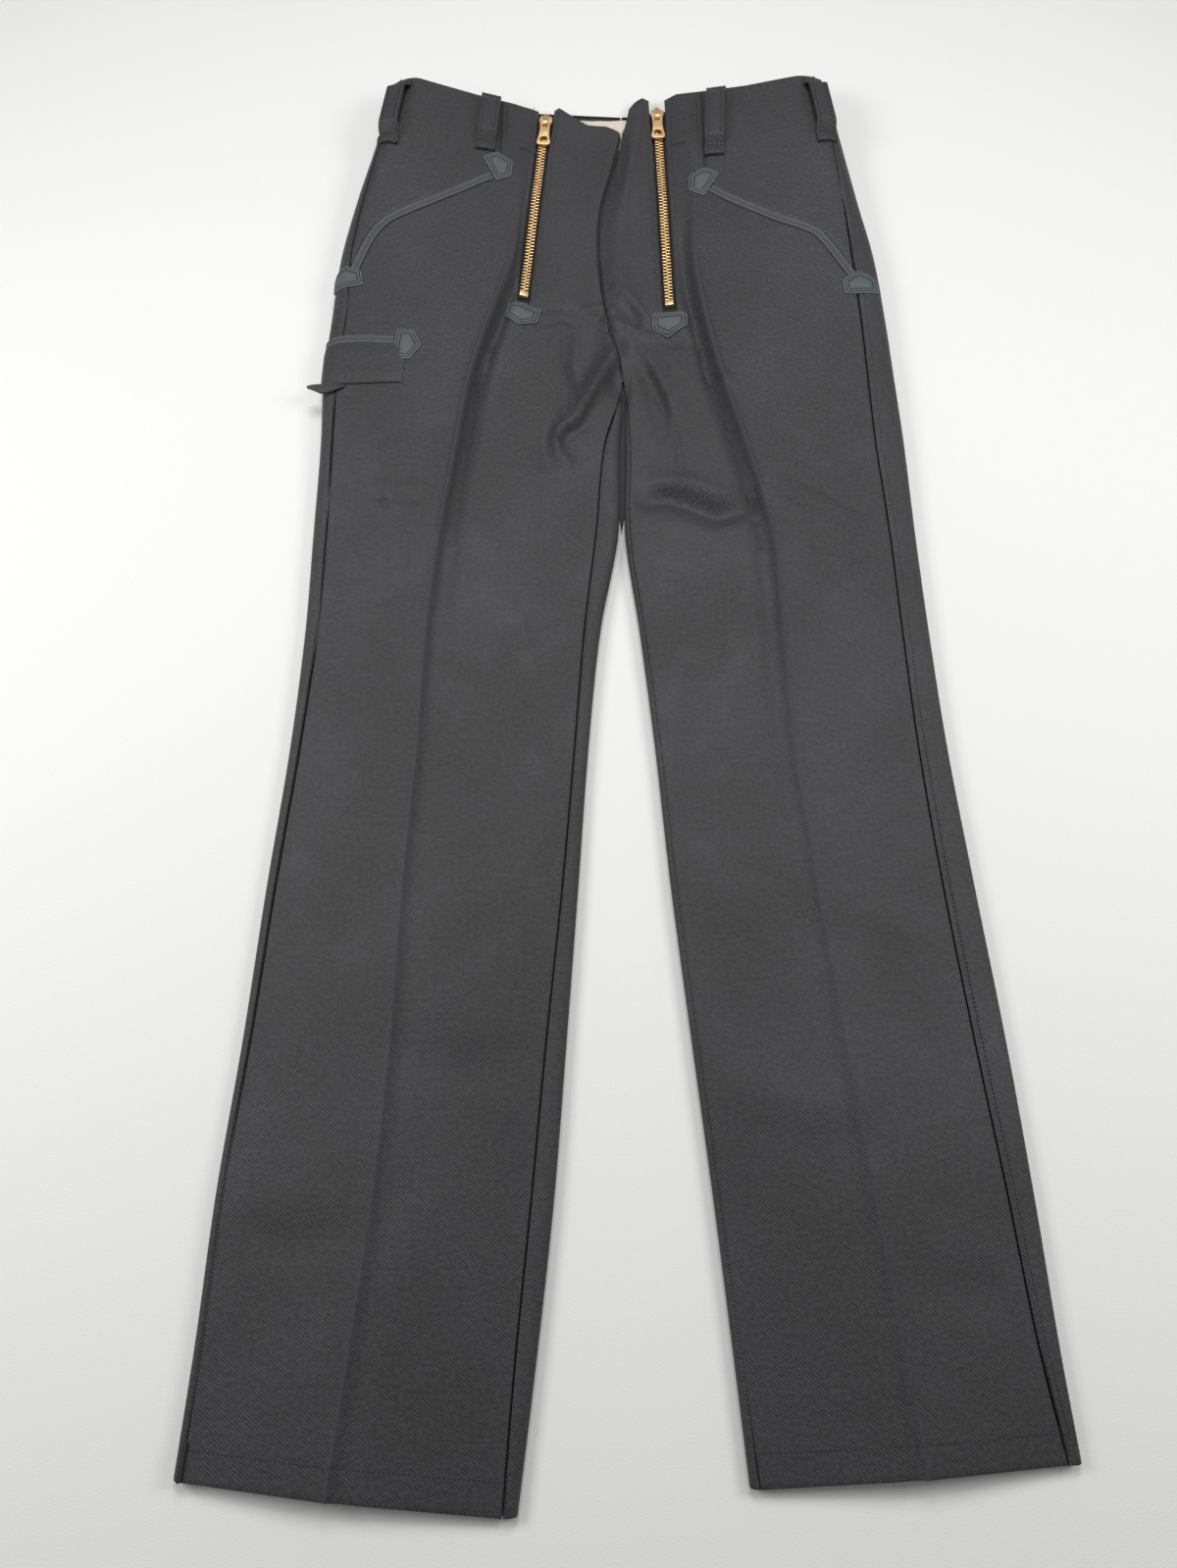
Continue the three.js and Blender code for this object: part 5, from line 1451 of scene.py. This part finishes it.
def sewn_run(leg, path, pitch, size, lift=0.0):
    """Places of a row of stitches along plan points."""
    places, along = resample(np.asarray(path, float), pitch, pitch / 2, pitch / 2)
    lifts = np.full(len(places), lift)
    here, normals = leg.raised(*places.T, lifts)
    ahead, _ = leg.raised(*(places + along * 0.6).T, lifts)
    behind, _ = leg.raised(*(places - along * 0.6).T, lifts)
    return here, unit(ahead - behind), normals, size


CLOTH_STITCH = (0.95, 2.2, 0.7)  # a stitch on cloth: width, length and height
LEATHER_STITCH = (0.75, 1.6, 0.7)
DITCH_THREAD_AND_SHADOW = (0.9, 2.8, 0.6)  # close dark stitches beside a binding: thread, and a painted shadow of the seam's ditch
TACK_STITCH = (0.6, 2.4, 0.8)
CLOTH_PITCH, LEATHER_PITCH, DITCH_THREAD_AND_SHADOW_PITCH, TACK_PITCH = 3.0, 2.1, 2.5, 0.7


def level_path(leg, low, high, distance_at):
    """Plan points up a leg at a distance from the centre line worked out from each section."""
    up = np.linspace(low, high, max(3, int((high - low) / 8)))
    s = leg.section(up)
    distance = distance_at(s)
    return np.column_stack([leg.side * distance, leg.row_level(s, distance)])


def hem_path(leg):
    """Plan points across a leg at the top of its turned hem."""
    s = leg.section(np.full(40, leg.table[-1, 0] + HEM_TURN))
    distance = np.linspace(s.inseam[0] + 2, s.outseam[0] - 2, len(s.up))
    return np.column_stack([leg.side * distance, leg.row_level(s, distance)])


SLIT_ROW, OUTSEAM_ROW, HIP_ROW = 4.6, 4.6, 4.4  # how far from an edge each row is sewn


def cloth_runs(leg):
    """Every row of topstitching on one side's cloth."""
    runs = []
    zip_ = Zip(leg)
    for hand in (-1, 1):
        ups = np.linspace(2, zip_.length + 6, 40)
        half = slot_half(leg.name, zip_.plan(0, ups)[1])
        runs.append(np.column_stack(zip_.plan(hand * (half + SLIT_ROW), ups)))
    seam, row = (leg.side * (HIP_SEAM[leg.name] - away) for away in (0, HIP_ROW))
    waist = float(leg.waist_edge(HIP_SEAM[leg.name]))
    runs.append([(row, 1012), (row, waist - 3)])
    runs.append(hem_path(leg))
    if leg.side > 0:
        runs.append(level_path(leg, 24, 1040, lambda s: s.outseam + OUTSEAM_ROW))
    sewn = [sewn_run(leg, path, CLOTH_PITCH, CLOTH_STITCH) for path in runs]
    centre, along = mouth_piping(leg)
    inward = np.column_stack([along[:, 1], -along[:, 0]]) * leg.side
    # Close dark stitches down the hip seam and beside the binding: thread laid so close that it also paints the
    # ditch's shadow as a dark line.
    for path in ([(seam, leg.mouth[0][1] + 2), (seam, waist - 2)], centre + inward * PIPING_EDGE):
        sewn.append(sewn_run(leg, path, DITCH_THREAD_AND_SHADOW_PITCH, DITCH_THREAD_AND_SHADOW))
    return sewn


def loop_runs(name):
    """Two rows down a belt loop and two across its foot."""
    _, top, bottom = LOOPS[name]
    half, length_mm = LOOP_WIDTH / 2 - 3, math.dist(top, bottom)
    up = np.arange(2.5, length_mm - 2, CLOTH_PITCH)
    over = np.arange(-half, half + 0.1, CLOTH_PITCH * 0.9)
    thick = LOOP_THICK - 0.1
    rows = [(up, np.full(len(up), hand * half), thick + loop_foot(up)) for hand in (-1, 1)]
    rows += [(np.full(len(over), q), over, np.full(len(over), thick + more))
             for q, more in ((LOOP_END + 0.3, 0), (3.2, 1))]
    runs = []
    for q, offset, height in rows:
        here, normals = loop_skin(name, q, offset)
        here = here + normals * height[:, None]
        runs.append((here, unit(np.gradient(here, axis=0)), normals, CLOTH_STITCH))
    return runs


def patch_runs(name):
    """Two rows of stitches round a patch, in the grooves that they draw into it."""
    side_name, at, turn, lift = PATCHES[name]
    leg, trim = LEGS[side_name], bpy.context.scene.trousers_trim
    runs = []
    for row in PATCH_ROWS:
        ring = patch_outline(row, trim.patch_width / MM)
        path = np.column_stack(patch_plan(at, turn, np.vstack([ring, ring[:1]])))
        runs.append(sewn_run(leg, path, LEATHER_PITCH, LEATHER_STITCH, trim.leather / MM - 0.1 + lift))
    return runs


def bar_tack(leg, start, end):
    """Close stitches across a short line."""
    spots, along = resample(np.array([start, end], float), TACK_PITCH)
    here, normals = leg.raised(*spots.T, np.full(len(spots), 0.1))
    across = unit(np.cross(np.column_stack([along, np.zeros(len(along))]), normals))
    return here, across, normals, TACK_STITCH


BAR_TACKS = [
    ("right", (-84.5, 1033), (-70, 1031.5)),
    ("left", (45, 1041), (59, 1041)),
]


# ---- stage ----
FLOOR_LEVEL = -0.0004  # just under the cloth
LAMPS = {  # place, where it aims, side in metres, power in watts
    "left_window": ((-0.95, 0.0, 0.9), (-0.25, 0, 0), 0.5, 7.2),
    "right_window": ((0.95, 0.05, 0.95), (0.25, 0, 0), 0.5, 6.4),
    "far_window": ((0.0, 0.68, 1.35), (0, 0.1, 0), 0.6, 11),
}


def make_stage(context):
    sizes = context.scene.trousers_stage
    camera_data = bpy.data.cameras.new("camera")
    camera_data.lens, camera_data.sensor_width = sizes.lens, 36
    camera = bpy.data.objects.new("camera", camera_data)
    camera.location, camera.rotation_euler = sizes.camera_place, (sizes.camera_tilt, 0, 0)
    context.scene.collection.objects.link(camera)
    context.scene.camera = camera
    deselect()
    bpy.ops.mesh.primitive_grid_add(x_subdivisions=8, y_subdivisions=8, size=8, location=(0, 0, FLOOR_LEVEL))
    floor = bpy.context.object
    floor.name = "floor"
    finish = Finish("pale_surface", Specular_IOR_Level=0.2)
    grain = finish.noise(finish.where(), 900.0, 3.0)
    tone = finish.mix(grain, shade(sizes.floor_colour, 0.96), shade(sizes.floor_colour, 1.03))
    rough, bump = 0.9 + grain * 0.05, finish.bump(grain, 0.4, 0.0006)
    floor.data.materials.append(finish.set(Base_Color=tone, Roughness=rough, Normal=bump))
    world = bpy.data.worlds.new("studio")
    world.use_nodes = True
    background = world.node_tree.nodes["Background"].inputs
    background["Color"].default_value, background["Strength"].default_value = (0.98, 0.99, 1.0, 1), 0.22
    context.scene.world = world
    for name, (place, aim, size, power) in LAMPS.items():
        data = bpy.data.lights.new(name, "AREA")
        data.shape, data.size, data.energy = "SQUARE", size, power
        lamp = bpy.data.objects.new(name, data)
        lamp.location = place
        lamp.rotation_euler = (Vector(aim) - Vector(place)).to_track_quat("-Z", "Y").to_euler()
        context.scene.collection.objects.link(lamp)
    context.scene.view_settings.view_transform = "Standard"


def make_panels(kind, build):
    for leg in LEGS.values():
        piece = dress(build(leg), "cloth", f"{kind}_{leg.name}")


def make_piping():
    for leg in LEGS.values():
        build_piping("piping_mouth_" + leg.name, leg, *mouth_piping(leg), "piping_pocket_" + leg.name)
    rule_mouth = resample(smooth_path(RULE_PIPING), 2.0)
    build_piping("piping_rule_mouth", LEGS["right"], *rule_mouth, "piping_rule_pocket")


RULE_POCKET = {"inner": -174, "mouth": 825, "foot": 786, "wrap": 21}
RULE_THICK = 1.7
RULE_TAIL = [  # the pocket's loose corner: x, upper edge, lower edge, lift
    [-221, 785.2, 782.5, 0.6], [-230, 785.2, 778, 1.5], [-239, 784.5, 776, 3], [-245, 783.4, 778.6, 3.4],
    [-250, 782, 780.5, 3.5],
]
TAIL_FREE = -234  # from here the corner leaves the leg's curve


def make_rule_pocket():
    """The folding-rule pocket, wrapped round the outseam."""
    leg = LEGS["right"]
    sizes = RULE_POCKET
    seam = -float(leg.section(np.array([sizes["mouth"]])).outseam[0])
    x = np.concatenate([np.linspace(seam - sizes["wrap"], seam, 16)[:-1], np.linspace(seam, sizes["inner"], 22)])
    y = np.concatenate([[0, 0.4, 1.0, 1.8], np.linspace(3, 35, 14), [37.2, 38, 38.6, 39]]) + sizes["foot"]
    gx, gy = np.meshgrid(x, y)
    base, normals = leg.raised(gx, gy)
    edge = np.minimum(sizes["inner"] - gx, gy - sizes["foot"])
    below = sizes["mouth"] - gy
    slack = smoothstep(0, 12, edge) * smoothstep(0, 20, gx - seam + 12) * smoothstep(1, 14, below)
    thick = RULE_THICK - rounded_edge(np.maximum(edge, 0), 1.1) - 0.3 * mound(edge, 2.2, 0.8)
    thick = thick - 0.7 * (1 - smoothstep(0, 7, below))
    outer = base + normals * (thick + slack)[..., None]
    inner = base + normals * (0.15 + slack * 0.9)[..., None]
    # A painted highlight along the pocket's turned inner edge.
    wear_and_painted_light = 0.6 * mound(sizes["inner"] - gx, 1.1, 0.9)
    piece = wall("rule_pocket_cloth", outer, inner, pairs(gx, gy), wear_and_painted_light=wear_and_painted_light)
    dress(piece, "cloth", "rule_pocket")
    make_rule_tail(leg)


def make_rule_tail(leg):
    """The loose corner: a folded point of cloth that stands out past the leg."""
    table = np.array(RULE_TAIL, float)
    x = np.linspace(table[0, 0], table[-1, 0], 24)
    high, low, lift = (np.interp(-x, -table[:, 0], table[:, k]) for k in (1, 2, 3))
    share = np.concatenate([[0, 0.04, 0.12], np.linspace(0.25, 0.75, 5), [0.88, 0.96, 1]])
    gy = lerp(low[:, None], high[:, None], share)
    gx = np.repeat(x[:, None], len(share), axis=1)
    base, _ = leg.raised(np.maximum(gx, TAIL_FREE), gy)
    base[..., 0] += np.minimum(gx - TAIL_FREE, 0)
    fold = 0.8 * mound(share, 0.55, 0.14) - rounded_edge(share * (1 - share) * 12, 0.5)
    outer, inner = base.copy(), base.copy()
    outer[..., 2] += lift[:, None] + CLOTH + fold * smoothstep(-250, -236, gx)
    inner[..., 2] += lift[:, None]
    grids = [g.transpose(1, 0, 2) for g in (outer, inner, pairs(gx, gy))]
    piece = wall("rule_pocket_corner", *facing(leg, *grids))
    dress(piece, "cloth", "rule_pocket_tail")


def make_lining():
    low, high = lining_low / MM, lining_high / MM
    x = np.linspace(low.x, high.x, 50)
    y = np.concatenate([np.linspace(low.y, high.y - 2, 14), high.y - np.array([1.2, 0.6, 0.25, 0])])
    gx, gy = np.meshgrid(x - GARMENT_ZERO[0], y - GARMENT_ZERO[1])
    ripple = 0.25 * np.sin(gx / 7 + gy / 9) + 0.2 * np.sin(gx / 3.1)
    below = gy.max() - gy
    top = high.z + 0.4 + ripple - rounded_edge(below, 0.7) - 0.3 * mound(below, 3, 0.7)
    outer = np.stack([gx, gy, top], axis=-1)
    inner = np.stack([gx, gy, np.full(gx.shape, low.z)], axis=-1)
    piece = wall("waist_lining_cotton", outer, inner, pairs(gx, gy))
    dress(piece, "lining", "waist_lining")


def make_stitches():
    runs = [run for leg in LEGS.values() for run in cloth_runs(leg)]
    runs += [run for name in LOOPS for run in loop_runs(name)]
    runs += [bar_tack(LEGS[side_name], start, end) for side_name, start, end in BAR_TACKS]
    sew("topstitching", runs, "cloth_thread", "cloth")
    sew("leather_stitching", [run for name in PATCHES for run in patch_runs(name)], "leather_thread", "leather")


def make_plain_solids():
    """Solids whose own shape is right get their finish."""
    done = {name for o in bpy.data.objects for name in o.get("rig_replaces", [])}
    slots = {row["node"]: row["material_slot"] for row in frame["record"]["subparts"]}
    for name, node in frame["nodes"].items():
        if name not in done:
            node.data.materials.clear()
            node.data.materials.append(finish_for(slots[name]))


# ---- operators and panel ----
class TROUSERS_OT_stage(bpy.types.Operator):
    """Adds the camera, the pale surface and soft light"""

    bl_idname = "trousers.stage"
    bl_label = "Stage"

    def execute(self, context):
        make_stage(context)
        return {"FINISHED"}


class TROUSERS_OT_fronts(bpy.types.Operator):
    """Makes the two front panels"""

    bl_idname = "trousers.fronts"
    bl_label = "Front panels"

    def execute(self, context):
        make_panels("front", build_front)
        return {"FINISHED"}


class TROUSERS_OT_backs(bpy.types.Operator):
    """Makes the two back panels"""

    bl_idname = "trousers.backs"
    bl_label = "Back panels"

    def execute(self, context):
        make_panels("back", build_back)
        return {"FINISHED"}


class TROUSERS_OT_hips(bpy.types.Operator):
    """Makes the two hip pieces"""

    bl_idname = "trousers.hips"
    bl_label = "Hip pieces"

    def execute(self, context):
        make_panels("hip", build_hip)
        return {"FINISHED"}


class TROUSERS_OT_belt_loops(bpy.types.Operator):
    """Makes the four belt loops"""

    bl_idname = "trousers.belt_loops"
    bl_label = "Belt loops"

    def execute(self, context):
        for name in LOOPS:
            build_belt_loop(name)
        return {"FINISHED"}


class TROUSERS_OT_piping(bpy.types.Operator):
    """Makes the leather bindings"""

    bl_idname = "trousers.piping"
    bl_label = "Piping"

    def execute(self, context):
        make_piping()
        return {"FINISHED"}


class TROUSERS_OT_patches(bpy.types.Operator):
    """Makes the seven leather patches"""

    bl_idname = "trousers.patches"
    bl_label = "Leather patches"

    def execute(self, context):
        for name in PATCHES:
            build_patch(name)
        return {"FINISHED"}


class TROUSERS_OT_rule_pocket(bpy.types.Operator):
    """Makes the folding-rule pocket and its loose corner"""

    bl_idname = "trousers.rule_pocket"
    bl_label = "Folding-rule pocket"

    def execute(self, context):
        make_rule_pocket()
        return {"FINISHED"}


class TROUSERS_OT_lining(bpy.types.Operator):
    """Makes the cream lining at the back waist"""

    bl_idname = "trousers.lining"
    bl_label = "Waist lining"

    def execute(self, context):
        make_lining()
        return {"FINISHED"}


class TROUSERS_OT_zips(bpy.types.Operator):
    """Makes the teeth, tapes, stops, sliders and pulls"""

    bl_idname = "trousers.zips"
    bl_label = "Zips"

    def execute(self, context):
        for leg in LEGS.values():
            build_teeth(leg)
            build_tape(leg)
            build_zip_metal(leg)
        return {"FINISHED"}


class TROUSERS_OT_stitches(bpy.types.Operator):
    """Sews the cloth and the leather"""

    bl_idname = "trousers.stitches"
    bl_label = "Stitches"

    def execute(self, context):
        make_stitches()
        return {"FINISHED"}


class TROUSERS_OT_plain_solids(bpy.types.Operator):
    """Gives the carried-over solids their finish"""

    bl_idname = "trousers.plain_solids"
    bl_label = "Plain solids"

    def execute(self, context):
        make_plain_solids()
        return {"FINISHED"}


STEPS = [
    TROUSERS_OT_stage, TROUSERS_OT_fronts, TROUSERS_OT_backs, TROUSERS_OT_hips, TROUSERS_OT_belt_loops,
    TROUSERS_OT_piping, TROUSERS_OT_patches, TROUSERS_OT_rule_pocket, TROUSERS_OT_lining,
    TROUSERS_OT_zips, TROUSERS_OT_stitches, TROUSERS_OT_plain_solids,
]


class TROUSERS_PT_panel(bpy.types.Panel):
    """Lists the steps of the making and their sizes."""

    bl_label = "Trousers"
    bl_idname = "TROUSERS_PT_panel"
    bl_space_type = "VIEW_3D"
    bl_region_type = "UI"
    bl_category = "Trousers"

    def draw(self, context):
        for group in (context.scene.trousers_cloth, context.scene.trousers_trim, context.scene.trousers_stage):
            for name in group.__annotations__:
                self.layout.prop(group, name)
        for step in STEPS:
            self.layout.operator(step.bl_idname)


CLASSES = [ClothSizes, TrimSizes, StageSizes, *STEPS, TROUSERS_PT_panel]


def register():
    for each in CLASSES:
        bpy.utils.register_class(each)
    bpy.types.Scene.trousers_cloth = PointerProperty(type=ClothSizes)
    bpy.types.Scene.trousers_trim = PointerProperty(type=TrimSizes)
    bpy.types.Scene.trousers_stage = PointerProperty(type=StageSizes)


def unregister():
    for name in ("trousers_cloth", "trousers_trim", "trousers_stage"):
        delattr(bpy.types.Scene, name)
    for each in reversed(CLASSES):
        bpy.utils.unregister_class(each)


def main():
    register()
    for step in STEPS:
        getattr(bpy.ops.trousers, step.bl_idname.partition(".")[2])()


if __name__ == "__main__":
    main()
